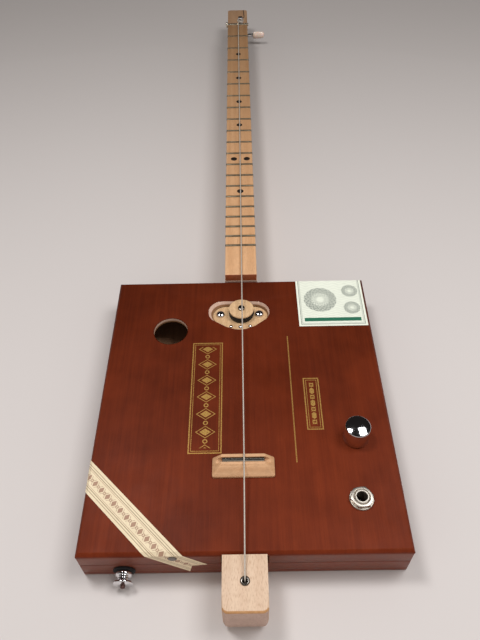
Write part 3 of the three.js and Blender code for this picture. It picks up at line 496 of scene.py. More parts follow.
def paint(piece: Thing, index: int, test: Callable[[Vector, Vector], bool]) -> None:
    """Give some faces another of the piece's materials.

    Args:
        piece: The piece.
        index: The material's place in the piece's list.
        test: Takes a face's middle in mm and its normal.
    """
    for face in piece.data.polygons:
        if test(face.center / MM, face.normal):
            face.material_index = index


# Node sheets

class Value:
    """A number or a place on a sheet, so that sums are written as sums."""

    def __init__(self, sheet: "Sheet", socket: Socket) -> None:
        """Keep the sheet and the socket that gives the value."""
        self.sheet, self.socket = sheet, socket

    def __add__(self, other: "Feed") -> "Value":
        """Add."""
        return self.sheet.sum("ADD", self, other)

    def __sub__(self, other: "Feed") -> "Value":
        """Take away."""
        return self.sheet.sum("SUBTRACT", self, other)

    def __rsub__(self, other: "Feed") -> "Value":
        """Take it away from something else."""
        return self.sheet.sum("SUBTRACT", other, self)

    def __mul__(self, other: "Feed") -> "Value":
        """Multiply."""
        return self.sheet.sum("MULTIPLY", self, other)

    def __truediv__(self, other: "Feed") -> "Value":
        """Divide."""
        return self.sheet.sum("DIVIDE", self, other)

    def __abs__(self) -> "Value":
        """Drop the sign."""
        return self.sheet.sum("ABSOLUTE", self)


Feed = Value | float | Point | Colour


class Sheet:
    """Adds nodes to the node tree of a material or a group, and joins them."""

    def __init__(self, tree: bpy.types.NodeTree) -> None:
        """Keep the tree to work on."""
        self.tree = tree

    def feed(self, socket: Socket, source: Feed) -> None:
        """Join a socket to a value of the sheet, or set it."""
        if isinstance(source, Value):
            self.tree.links.new(source.socket, socket)
        else:
            socket.default_value = source

    def add(self, kind: str, feeds: dict[str | int, Feed], **settings: object) -> bpy.types.Node:
        """Add a node.

        Args:
            kind: The node's type, without its ShaderNode.
            feeds: What goes into its inputs, by name or place.
            settings: Its properties.

        Returns:
            The node.
        """
        node = self.tree.nodes.new("ShaderNode" + kind)
        for name, value in settings.items():
            setattr(node, name, value)
        for name, source in feeds.items():
            self.feed(node.inputs[name], source)
        return node

    def give(self, kind: str, feeds: dict[str | int, Feed], output: str | int = 0,
             **settings: object) -> Value:
        """Add a node, and give what comes out of one of its outputs."""
        return Value(self, self.add(kind, feeds, **settings).outputs[output])

    def outputs(self, node: bpy.types.Node) -> dict[str, Value]:
        """Give all that comes out of a node, by name."""
        return {socket.name: Value(self, socket) for socket in node.outputs if socket.name}

    def sum(self, work: str, first: Feed, second: Feed = 0.0, **settings: object) -> Value:
        """Do one sum, on places where the first value is a place, or else on numbers."""
        on_places = isinstance(first, Value) and first.socket.type == "VECTOR"
        return self.give("VectorMath" if on_places else "Math", {0: first, 1: second}, operation=work,
                         **settings)

    def sine(self, value: Feed) -> Value:
        """Give the sine of an angle."""
        return self.sum("SINE", value)

    def reach(self, across: Value, along: Value) -> Value:
        """Give the straight distance of two distances square to each other."""
        return self.sum("SQRT", across * across + along * along)

    def highest(self, *values: Feed) -> Value:
        """Give the highest of some values."""
        return reduce(lambda first, second: self.sum("MAXIMUM", first, second), values)

    def lowest(self, *values: Feed) -> Value:
        """Give the lowest of some values."""
        return reduce(lambda first, second: self.sum("MINIMUM", first, second), values)

    def parts(self, place: Feed) -> list[Value]:
        """Take a place apart."""
        return list(self.outputs(self.add("SeparateXYZ", {0: place})).values())

    def point(self, first: Feed, second: Feed, third: Feed) -> Value:
        """Put a place together."""
        return self.give("CombineXYZ", {0: first, 1: second, 2: third})

    def millimetres(self) -> Value:
        """Give the place on the piece in millimetres."""
        return self.give("TexCoord", {}, "Object") * (1 / MM, 1 / MM, 1 / MM)

    def flat_place(self) -> Value:
        """Give the place on a paper's flat sheet in millimetres."""
        return self.give("TexCoord", {}, "UV") * (CHART, CHART, CHART)

    def noise(self, place: Feed, scale: float, detail: float = 3.0, rough: float = 0.55) -> Value:
        """Give noise between 0 and 1."""
        feeds = {"Vector": place, "Scale": scale, "Detail": detail, "Roughness": rough}
        return self.give("TexNoise", feeds, "Fac")

    def spread(self, value: Feed, low: Feed, high: Feed, to_low: Feed = 0.0, to_high: Feed = 1.0,
               soft: bool = False) -> Value:
        """Map one range of values to another, and stop at its ends."""
        feeds = {"Value": value, "From Min": low, "From Max": high, "To Min": to_low, "To Max": to_high}
        return self.give("MapRange", feeds, clamp=True, interpolation_type="SMOOTHSTEP" if soft else "LINEAR")

    def fade(self, value: Feed, low: Feed, high: Feed, soft: bool = False) -> Value:
        """Fall from one to nought between two values."""
        return self.spread(value, low, high, 1.0, 0.0, soft)

    def mix(self, share: Feed, first: Feed, second: Feed, how: str = "MIX") -> Value:
        """Mix two colours."""
        return self.give("Mix", {0: share, 6: first, 7: second}, 2, data_type="RGBA", blend_type=how)

    def stain(self, colour: Feed, stain: Colour) -> Value:
        """Multiply a colour by another."""
        return self.mix(1.0, colour, stain, "MULTIPLY")

    def shade(self, colour: Feed, rough: Feed, height: Feed = 0.0, depth: float = 0.0,
              more: dict[str, Feed] | None = None) -> None:
        """End the sheet of a material with its one Principled shader.

        Args:
            colour: Its colour.
            rough: Its roughness.
            height: The height of its relief, from nought to one.
            depth: How deep a height of one is, in mm; nought leaves it smooth.
            more: What else goes into the shader, by name.
        """
        feeds = {"Base Color": colour, "Roughness": rough, **(more or {})}
        if depth:
            feeds["Normal"] = self.give("Bump", {"Height": height, "Distance": depth * MM, "Strength": 1.0})
        self.add("OutputMaterial", {"Surface": self.give("BsdfPrincipled", feeds)})


class Effect:
    """A shader node group with named inputs and outputs, built once and placed wherever it is needed."""

    def __init__(self, name: str, takes: dict[str, float | Point | Colour],
                 build: Callable[[Sheet, dict[str, Value]], dict[str, Value]],
                 gives: Sequence[str] = ("Mask",)) -> None:
        """Build the group.

        Args:
            name: The group's name.
            takes: Its inputs with their plain values.
            build: Adds the nodes between them and returns what feeds each output.
            gives: Its outputs; the one called Colour is a colour, and the others are numbers.
        """
        self.tree = bpy.data.node_groups.new(name, "ShaderNodeTree")
        for socket, value in takes.items():
            size = len(value) if isinstance(value, tuple) else 1
            kind = {1: "NodeSocketFloat", 3: "NodeSocketVector", 4: "NodeSocketColor"}[size]
            self.tree.interface.new_socket(socket, in_out="INPUT", socket_type=kind).default_value = value
        for socket in gives:
            kind = "NodeSocketColor" if socket == "Colour" else "NodeSocketFloat"
            self.tree.interface.new_socket(socket, in_out="OUTPUT", socket_type=kind)
        sheet = Sheet(self.tree)
        entry = self.tree.nodes.new("NodeGroupInput")
        end = self.tree.nodes.new("NodeGroupOutput")
        for socket, source in build(sheet, sheet.outputs(entry)).items():
            sheet.feed(end.inputs[socket], source)

    def place(self, sheet: Sheet, **feeds: Feed) -> dict[str, Value]:
        """Put the group on a sheet.

        Args:
            sheet: The sheet of the material.
            feeds: What goes into its inputs, with low lines for spaces.

        Returns:
            The group's outputs by name.
        """
        node = sheet.tree.nodes.new("ShaderNodeGroup")
        node.node_tree = self.tree
        for name, source in feeds.items():
            sheet.feed(node.inputs[name.replace("_", " ").title()], source)
        return sheet.outputs(node)

    def mask(self, sheet: Sheet, **feeds: Feed) -> Value:
        """Put the group on a sheet, and give its mask."""
        return self.place(sheet, **feeds)["Mask"]


def tint(red: int, green: int, blue: int) -> Colour:
    """Turn a colour as it shows on a screen, from 0 to 255, into the one that a shader takes."""
    def bare(value: int) -> float:
        """Turn one share of the colour."""
        share = value / 255
        return share / 12.92 if share <= 0.04045 else ((share + 0.055) / 1.055) ** 2.4
    return bare(red), bare(green), bare(blue), 1.0


# Effects that several finishes share

def build_grain(sheet: Sheet, given: dict[str, Value]) -> dict[str, Value]:
    """Lay wood grain along y, with year rings, fine streaks and pores."""
    place = given["Place"] + sheet.point(given["Seed"], given["Seed"], given["Seed"])
    slow = place * (1.0, 0.035, 1.0)
    across, _, up = sheet.parts(slow)
    ring = across + up * 0.45 + sheet.noise(slow, 0.055, 2.0) * given["Bend"]
    bands = sheet.spread(sheet.sine(ring * FULL_TURN / given["Ring"]), -1.0, 1.0, soft=True)
    streak = sheet.noise(place * (2.6, 0.05, 2.6), 1.0, 5.0, 0.62)
    share = bands * 0.34 + sheet.spread(streak, 0.3, 0.72, 0.0, 0.66)
    pores = sheet.spread(sheet.noise(place * (4.5, 0.42, 4.5), 1.0, 2.0, 0.5), 0.6, 0.72)
    pored = pores * given["Pores"]
    wood = sheet.mix(pored, sheet.mix(share, given["Dark"], given["Pale"]), given["Pore Colour"])
    return {"Colour": wood, "Height": share * 0.4 - pored, "Share": share}


def build_patches(sheet: Sheet, given: dict[str, Value]) -> dict[str, Value]:
    """Spread soft patches, for handling, dust and uneven polish."""
    wide = sheet.noise(given["Place"], 0.035, 4.0, 0.6)
    scaled = sheet.give("VectorMath", {0: given["Place"], "Scale": given["Scale"]}, operation="SCALE")
    both = (wide + sheet.noise(scaled, 0.35, 4.0, 0.6)) * 0.5
    return {"Mask": sheet.spread(both, 0.38, 0.62, soft=True) * given["Amount"]}


def build_scratches(sheet: Sheet, given: dict[str, Value]) -> dict[str, Value]:
    """Draw fine scratches in two directions."""
    first = sheet.noise(given["Place"] * (9.0, 0.25, 9.0), 1.0, 1.0)
    turned = sheet.give("VectorRotate", {"Vector": given["Place"], "Axis": (0.3, 0.2, 1.0), "Angle": 0.9})
    second = sheet.noise(turned * (7.0, 0.22, 7.0), 1.0, 1.0)
    both = sheet.highest(sheet.spread(first, 0.66, 0.72), sheet.spread(second, 0.67, 0.73))
    return {"Mask": both * given["Amount"]}


def build_stripe(sheet: Sheet, given: dict[str, Value]) -> dict[str, Value]:
    """Draw a stripe with soft edges where a value is near its middle."""
    off = abs(given["Value"] - given["Middle"])
    return {"Mask": sheet.fade(off, given["Half"], given["Half"] + given["Soft"], soft=True)}


def build_medallion(sheet: Sheet, given: dict[str, Value]) -> dict[str, Value]:
    """Draw a round engraved ornament: rings crossed by waves, with fine rays."""
    across, along, _ = sheet.parts(given["Place"] - given["Middle"])
    share = sheet.reach(across, along) / given["Radius"]
    angle = sheet.sum("ARCTAN2", along, across)
    waved = share + sheet.sine(angle * given["Petals"]) * 0.09
    rings = sheet.spread(sheet.sine(waved * 26.0), 0.1, 0.8)
    rays = sheet.spread(sheet.sine(angle * (given["Petals"] * 4.0)), -0.2, 0.6)
    ground = sheet.highest(rings * 0.9, rays * sheet.spread(share, 0.5, 0.58))
    return {"Mask": ground * sheet.fade(share, 0.95, 1.0) * sheet.spread(share, 0.2, 0.26)}


def build_panel(sheet: Sheet, given: dict[str, Value]) -> dict[str, Value]:
    """Draw a gilded panel: a double frame round a chain of lozenges and rings."""
    across, along, _ = sheet.parts(given["Place"] - given["Middle"])
    wide, long, _ = sheet.parts(given["Half Size"])
    side = abs(across)
    edge = sheet.highest(side - wide, abs(along) - long)
    frames = [sheet.fade(abs(edge + inset), half, soft_half)
              for inset, half, soft_half in ((0.4, 0.3, 0.45), (1.9, 0.12, 0.25))]
    step = sheet.sum("PINGPONG", along + 100.0, given["Step"])
    lozenge = side * 0.7 + step
    solid = sheet.fade(lozenge, 2.6, 2.8)
    line = sheet.fade(abs(lozenge - 4.4), 0.22, 0.36)
    rings = sheet.fade(abs(sheet.reach(side, given["Step"] - step) - 1.3), 0.3, 0.42)
    chain = sheet.highest(solid, line, rings) * sheet.fade(edge, -4.2, -3.8)
    return {"Mask": sheet.highest(*frames, chain)}


GRAIN = Effect("wood grain", {
    "Place": ORIGIN, "Pale": (0.8, 0.6, 0.4, 1.0), "Dark": (0.6, 0.4, 0.2, 1.0),
    "Pore Colour": (0.3, 0.2, 0.1, 1.0), "Ring": 6.0, "Bend": 40.0, "Pores": 0.5, "Seed": 0.0,
}, build_grain, ("Colour", "Height", "Share"))
PATCHES = Effect("soft patches", {"Place": ORIGIN, "Scale": 1.0, "Amount": 1.0}, build_patches)
SCRATCHES = Effect("fine scratches", {"Place": ORIGIN, "Amount": 1.0}, build_scratches)
STRIPE = Effect("stripe", {"Value": 0.0, "Middle": 0.0, "Half": 0.5, "Soft": 0.1}, build_stripe)
MEDALLION = Effect("engraved medallion", {"Place": ORIGIN, "Middle": ORIGIN, "Radius": 9.0, "Petals": 12.0},
                   build_medallion)
PANEL = Effect("gilded panel", {"Place": ORIGIN, "Middle": ORIGIN, "Half Size": (10.0, 40.0, 0.0), "Step": 7.0},
               build_panel)


# Finishes

@dataclass(frozen=True)
class Finish:
    """What every finish has: a name, and a sheet that it is drawn on."""

    name: str

    def make(self) -> bpy.types.Material:
        """Build the material."""
        material = bpy.data.materials.new(self.name)
        material.use_nodes = True
        material.node_tree.nodes.clear()
        self.draw(Sheet(material.node_tree))
        return material

    def draw(self, sheet: Sheet) -> None:
        """Add the finish's nodes to its sheet."""
        raise NotImplementedError


@dataclass(frozen=True)
class Wood(Finish):
    """Wood with grain along the guitar or across it, bare, oiled or lacquered."""

    pale: Colour
    dark: Colour
    pore: Colour
    ring: float = 7.0
    bend: float = 40.0
    pores: float = 0.4
    seed: float = 0.0
    roughness: float = 0.5
    soil: Colour = (0.25, 0.16, 0.09, 1.0)
    soiled: float = 0.2
    relief: float = 0.06
    gloss: float = 0.5
    flecks: float = 0.0
    crosswise: bool = False
    # Painted shade: the colour that the wood is multiplied by towards the headstock, and where that starts and is
    # full, standing for the light falling off along the neck.
    darkening: Colour = (1.0, 1.0, 1.0, 1.0)
    shade_from: float = 0.0
    shade_to: float = 600.0

    def draw(self, sheet: Sheet) -> None:
        """Draw the grain, the flecks, the soil and the painted shade that darkens the end towards the headstock.
        """
        place = sheet.millimetres()
        across, along, up = sheet.parts(place)
        if self.crosswise:
            place = sheet.point(along, across, up)
        grain = GRAIN.place(sheet, place=place, pale=self.pale, dark=self.dark, pore_colour=self.pore,
                            ring=self.ring, bend=self.bend, pores=self.pores, seed=self.seed)
        soil = PATCHES.mask(sheet, place=place, scale=0.6, amount=self.soiled)
        scratched = SCRATCHES.mask(sheet, place=place, amount=0.2)
        fleck = sheet.spread(sheet.noise(place * (1.6, 0.35, 1.6), 1.0, 2.0), 0.5, 0.66)
        colour = sheet.mix(soil, grain["Colour"], self.soil)
        colour = sheet.mix(fleck * self.flecks, colour, self.pore)
        # Painted shade: towards the headstock the colour is multiplied by the darkening colour.
        head_shade_share = sheet.spread(along, self.shade_from, self.shade_to)
        colour = sheet.mix(head_shade_share, colour, sheet.stain(colour, self.darkening))
        rough = grain["Share"] * 0.08 + self.roughness + scratched * 0.3 + soil * 0.15
        sheet.shade(colour, rough, grain["Height"], self.relief, {"Specular IOR Level": self.gloss})


@dataclass(frozen=True)
class Metal(Finish):
    """Metal, from mirror chrome to brushed nickel."""

    colour: Colour
    dull: Colour
    roughness: float = 0.1
    dulled: float = 0.3
    brushed: float = 0.0
    metallic: float = 1.0

    def draw(self, sheet: Sheet) -> None:
        """Draw the metal with its dull patches, scratches and brushing."""
        place = sheet.millimetres()
        patches = PATCHES.mask(sheet, place=place, scale=1.0, amount=self.dulled)
        scratched = SCRATCHES.mask(sheet, place=place, amount=0.6)
        rough = patches * 0.18 + self.roughness + scratched * (0.12 + 0.2 * self.brushed)
        streaks = sheet.noise(place * (0.6, 12.0, 12.0), 1.0, 2.0)
        sheet.shade(sheet.mix(patches, self.colour, self.dull), rough, streaks, 0.0004 + 0.02 * self.brushed,
                    {"Metallic": self.metallic})


@dataclass(frozen=True)
class Moulded(Finish):
    """Plastic, tape, felt or ink: a plain body with fine speckle and its own relief."""

    colour: Colour
    dim: Colour
    roughness: float = 0.5
    speckle: float = 2.0
    relief: float = 0.02
    sheen: float = 0.0
    coat: float = 0.0
    glow: float = 0.0

    def draw(self, sheet: Sheet) -> None:
        """Draw the body with its speckle."""
        place = sheet.millimetres()
        fine = sheet.noise(place, self.speckle, 5.0, 0.65)
        patches = PATCHES.mask(sheet, place=place, scale=2.0, amount=0.5)
        mixed = sheet.sum("MULTIPLY", fine + patches, 0.6, use_clamp=True)
        sheet.shade(sheet.mix(mixed, self.dim, self.colour), patches * 0.16 + self.roughness, fine, self.relief,
                    {"Sheen Weight": self.sheen, "Sheen Roughness": 0.4, "Coat Weight": self.coat,
                     "Coat Roughness": 0.08, "Subsurface Weight": self.glow, "Subsurface Scale": 2 * MM})


@dataclass(frozen=True)
class LidLacquer(Finish):
    """The lid's red-brown lacquer with its worn gilding: a thin rule and two ornament panels."""

    name: str = "lid lacquer"
    pale: Colour = tint(116, 46, 20)
    dark: Colour = tint(103, 39, 17)
    pore: Colour = tint(74, 24, 10)
    # Painted shade: the colour that the lacquer is multiplied by towards the far end.
    far_shade: Colour = (0.56, 0.53, 0.5, 1.0)
    rub: Colour = tint(128, 66, 40)
    gold: Colour = tint(182, 144, 78)
    thin: Colour = (1.3, 1.3, 1.3, 1.0)
    thick: Colour = (0.72, 0.68, 0.64, 1.0)
    rubbed_z: Pair = (29.2, 30.0)
    gilded_z: Pair = (29.9, 29.95)
    rule_x: float = 34.0
    rule_y: Pair = (-53.0, 51.0)
    panels: tuple[tuple[Point, Point, float], ...] = (((-25.0, 0.0, 0.0), (11.0, 46.0, 0.0), 7.0),
                                                      ((48.0, -8.5, 0.0), (5.5, 21.0, 0.0), 5.0))

    def draw(self, sheet: Sheet) -> None:
        """Draw the lacquer in its thick and thin clouds, with a painted shade that darkens it towards the far
        end, rubbed at the lid's edge, and the gold on it.
        """
        place = sheet.millimetres()
        across, along, up = sheet.parts(place)
        grain = GRAIN.place(sheet, place=place, pale=self.pale, dark=self.dark, pore_colour=self.pore,
                            ring=23.0, bend=150.0, pores=0.25, seed=7.0)
        patches = PATCHES.mask(sheet, place=place, scale=0.3, amount=1.0)
        scratched = SCRATCHES.mask(sheet, place=place, amount=0.5)
        past = sheet.highest(abs(across) - HALF_WIDTH, abs(along) - HALF_LENGTH)
        rubbed = sheet.spread(past, -BEVEL - 0.5, -BEVEL + 0.4) * sheet.spread(
            sheet.noise(place, 0.6, 4.0, 0.7), 0.5, 0.62) * sheet.spread(up, *self.rubbed_z)
        # Painted shade: the lacquer darkens along the lid towards the far end.
        lacquer_colour = sheet.mix(sheet.spread(along, -HALF_LENGTH, HALF_LENGTH), grain["Colour"],
                            sheet.stain(grain["Colour"], self.far_shade))
        streaks = sheet.noise(place * (1.0, 0.03, 0.3), 0.8, 4.0, 0.7)
        clouds = sheet.noise(place, 0.02, 3.0, 0.6)
        coat = sheet.spread(streaks, 0.3, 0.7, 0.0, 0.32) + sheet.spread(clouds, 0.35, 0.65, 0.0, 0.68)
        lacquer_colour = sheet.mix(coat, sheet.stain(lacquer_colour, self.thick), sheet.stain(lacquer_colour, self.thin))
        worn = sheet.spread(sheet.noise(place, 1.6, 4.0, 0.7), 0.36, 0.5)
        gilt = self.gilding(sheet, place) * worn
        sheet.shade(sheet.mix(gilt, sheet.mix(rubbed * 0.5, lacquer_colour, self.rub), self.gold),
                    patches * 0.06 + 0.42 + scratched * 0.12, grain["Height"], 0.012,
                    {"Metallic": gilt * 0.4, "Specular IOR Level": 0.07})

    def gilding(self, sheet: Sheet, place: Value) -> Value:
        """Draw the gold: the rule and the two panels, on the lid's top only.

        Args:
            sheet: The material's sheet.
            place: The place in mm.

        Returns:
            The gold's mask.
        """
        across, along, up = sheet.parts(place)
        low, high = self.rule_y
        rule = STRIPE.mask(sheet, value=across, middle=self.rule_x, half=0.35, soft=0.12)
        length = STRIPE.mask(sheet, value=along, middle=(low + high) / 2, half=(high - low) / 2, soft=0.3)
        panels = [PANEL.mask(sheet, place=place, middle=middle, half_size=half_size, step=step)
                  for middle, half_size, step in self.panels]
        return sheet.highest(rule * length * 0.7, *panels) * sheet.spread(up, *self.gilded_z)


@dataclass(frozen=True)
class Ply(Finish):
    """The bare layers of the lid's board, seen where it is cut through."""

    name: str = "bare ply"
    face: Colour = tint(214, 180, 160)
    core: Colour = tint(138, 96, 62)
    thickness: float = 3.6

    def draw(self, sheet: Sheet) -> None:
        """Draw the layers, with a fuzz of torn fibres."""
        place = sheet.millimetres()
        _, _, up = sheet.parts(place)
        depth = (up + sheet.noise(place, 0.5, 3.0) * 0.3 - (LID_TOP - self.thickness)) / self.thickness
        layer = STRIPE.mask(sheet, value=depth, middle=0.2, half=0.2, soft=0.06)
        fuzz = sheet.noise(place * (2.0, 2.0, 8.0), 1.0, 4.0, 0.7)
        colour = sheet.mix(layer, self.face, self.core)
        colour = sheet.mix(sheet.spread(fuzz, 0.4, 0.75, 0.0, 0.35), colour, self.core)
        sheet.shade(colour, fuzz * 0.2 + 0.6, fuzz, 0.12)


@dataclass(frozen=True)
class BandPaper(Finish):
    """The cream paper band, with lines along both edges and a fine printed net between them."""

    name: str = "band paper"
    ground: Colour = tint(240, 222, 188)
    dim: Colour = tint(220, 201, 166)
    red: Colour = tint(134, 68, 48)
    brown: Colour = tint(112, 84, 54)
    width: float = 15.5
    line_inset: float = 1.9
    net_scale: float = 1.6

    def draw(self, sheet: Sheet) -> None:
        """Draw the aged paper, its lines and its net."""
        place = sheet.flat_place()
        along, across, _ = sheet.parts(place)
        inset = self.width / 2 - abs(across)
        lines = STRIPE.mask(sheet, value=inset, middle=self.line_inset, half=0.16, soft=0.12)
        crosswise = sheet.point(across * self.net_scale, along * self.net_scale, 0.0)
        net = PANEL.mask(sheet, place=crosswise, half_size=(7.6, 500.0, 0.0), step=5.0)
        fibres = sheet.noise(place * (1.0, 3.0, 1.0), 1.0, 5.0, 0.7)
        darkening = PATCHES.mask(sheet, place=place, scale=0.8, amount=0.7)
        colour = sheet.mix(darkening * 0.6, self.ground, self.dim)
        colour = sheet.mix(lines * 0.6, colour, self.brown)
        colour = sheet.mix(net * 0.7, colour, sheet.mix(sheet.spread(inset, 3.6, 4.0), self.brown, self.red))
        sheet.shade(colour, fibres * 0.25 + 0.5, fibres, 0.05)


@dataclass(frozen=True)
class SealPaper(Finish):
    """The pale green paper seal: a bordered ground with a green bar and engraved medallions."""

    name: str = "seal paper"
    ground: Colour = tint(236, 240, 224)
    dim: Colour = tint(214, 218, 202)
    ink: Colour = tint(84, 94, 88)
    green: Colour = tint(22, 104, 76)
    wide: Pair = (43.9, 96.0)
    long: Pair = (60.6, 128.0)
    medallions: tuple[tuple[Point, float, float], ...] = (
        ((62.0, 88.0, 0.0), 13.0, 16.0), ((86.0, 79.0, 0.0), 6.5, 9.0), ((86.0, 97.0, 0.0), 6.5, 9.0))

    def draw(self, sheet: Sheet) -> None:
        """Draw the aged paper, its waves, its borders, the medallions and the bar."""
        place = sheet.flat_place()
        across, along, _ = sheet.parts(place)
        (left, right), (low, high) = self.wide, self.long
        edge = sheet.lowest(across - left, right - across, along - low, high - along)
        border = STRIPE.mask(sheet, value=edge, middle=1.8, half=0.12, soft=0.15)
        second = STRIPE.mask(sheet, value=edge, middle=2.7, half=0.3, soft=0.15)
        medallions = [MEDALLION.mask(sheet, place=place, middle=middle, radius=radius, petals=petals) * 0.85
                      for middle, radius, petals in self.medallions]
        bar = (STRIPE.mask(sheet, value=along, middle=67.2, half=1.7, soft=0.2)
               * STRIPE.mask(sheet, value=across, middle=70.0, half=21.5, soft=0.3))
        waves = sheet.sine(along * 3.4 + sheet.sine(across * 0.7) * 2.0)
        net = sheet.spread(waves, 0.2, 0.9) * sheet.spread(edge, 3.0, 3.3)
        fibres = sheet.noise(place, 1.6, 5.0, 0.7)
        darkening = PATCHES.mask(sheet, place=place, scale=0.8, amount=0.6)
        colour = sheet.mix(darkening * 0.5, self.ground, self.dim)
        colour = sheet.mix(net * 0.2, colour, self.ink)
        colour = sheet.mix(sheet.highest(border, second * 0.35, *medallions), colour, self.ink)
        sheet.shade(sheet.mix(bar, colour, self.green), fibres * 0.25 + 0.42, fibres, 0.04)


class Finishes:
    """Every finish of the guitar, made once."""

    def __init__(self) -> None:
        """Make the materials."""
        self.lid = LidLacquer().make()
        self.ply = Ply().make()
        self.wall = Wood("wall lacquer", tint(124, 56, 32), tint(106, 44, 26), tint(64, 26, 14), ring=18.0,
                         bend=80.0, pores=0.4, seed=31.0, roughness=0.36, gloss=0.4, soiled=0.1).make()
        self.inside = Wood("bare box wood", tint(172, 130, 98), tint(140, 98, 70), tint(96, 62, 42),
                           ring=9.0, pores=0.6, seed=53.0, roughness=0.7).make()
        # The stick's painted shade darkens it towards the headstock.
        self.stick = Wood("oiled maple stick", tint(232, 203, 174), tint(218, 184, 154), tint(172, 128, 92),
                          ring=9.0, bend=16.0, pores=0.3, seed=3.0, roughness=0.45, soiled=0.05, flecks=0.4,
                          darkening=(0.46, 0.38, 0.3, 1.0), shade_from=100.0).make()
        self.end_grain = Wood("maple end grain", tint(206, 176, 160), tint(190, 158, 142), tint(150, 116, 98),
                              ring=4.0, roughness=0.6, flecks=0.3).make()
        self.honey = Wood("honeyed edge", tint(206, 156, 104), tint(186, 132, 80), tint(140, 92, 54),
                          roughness=0.4, flecks=0.3).make()
        # The board's painted shade darkens it towards the headstock.
        self.board = Wood("oiled maple board", tint(226, 178, 133), tint(203, 152, 107), tint(146, 98, 62),
                          ring=8.0, bend=22.0, pores=0.6, seed=19.0, roughness=0.4, soiled=0.1,
                          darkening=(0.35, 0.335, 0.3, 1.0), shade_from=110.0).make()
        # The board's end face towards the tail: a red-brown that paints the lid's red bounce light and the face's
        # shade over its end grain.
        self.board_end = Wood("stained board end", tint(182, 94, 50), tint(150, 74, 38), tint(90, 44, 24),
                              ring=3.0, roughness=0.5).make()
        self.bridge = Wood("waxed maple", tint(233, 185, 140), tint(209, 158, 113), tint(168, 116, 76),
                           crosswise=True, ring=5.0, bend=12.0, seed=71.0, flecks=0.15).make()
        self.plate = Wood("bare birch", tint(226, 189, 145), tint(206, 166, 120), tint(160, 116, 78),
                          ring=5.0, bend=14.0, pores=0.6, seed=87.0, roughness=0.6, flecks=0.3).make()
        self.chrome = Metal("polished chrome", tint(226, 226, 228), tint(200, 200, 204), 0.05, 0.25).make()
        self.nickel = Metal("nickel plate", tint(216, 208, 192), tint(186, 178, 162), 0.2, 0.3, 0.02).make()
        self.jack = Metal("soft nickel plate", tint(214, 206, 194), tint(180, 172, 160), 0.36, 0.3).make()
        self.dark_steel = Metal("dark steel", tint(128, 122, 116), tint(90, 86, 82), 0.2, 0.4, 0.05).make()
        self.rod = Metal("worn steel", tint(190, 182, 170), tint(150, 142, 132), 0.16, 0.3, 0.02).make()
        self.tip = Metal("bronzed steel", tint(112, 84, 78), tint(74, 54, 50), 0.5, 0.4, 0.2).make()
        self.fret = Metal("fret wire", tint(126, 116, 98), tint(86, 78, 64), 0.36, 0.6, 0.3).make()
        self.string = Metal("wound wire", tint(206, 196, 184), tint(170, 160, 148), 0.45, 0.4,
                            metallic=0.4).make()
        self.tape = Moulded("black tape", tint(18, 18, 20), tint(8, 8, 10), 0.6, 3.0, 0.05).make()
        self.felt = Moulded("black felt", tint(26, 24, 26), tint(10, 9, 11), 0.9, 5.0, 0.25, sheen=0.15).make()
        self.pearl = Moulded("pearl plastic", tint(228, 208, 194), tint(204, 182, 166), 0.14, 0.25, 0.01,
                             coat=0.6, glow=0.15).make()
        self.ink = Moulded("dot ink", tint(44, 30, 22), tint(20, 14, 10), 0.4, 3.0, 0.04).make()
        self.band = BandPaper().make()
        self.seal = SealPaper().make()


# The guitar

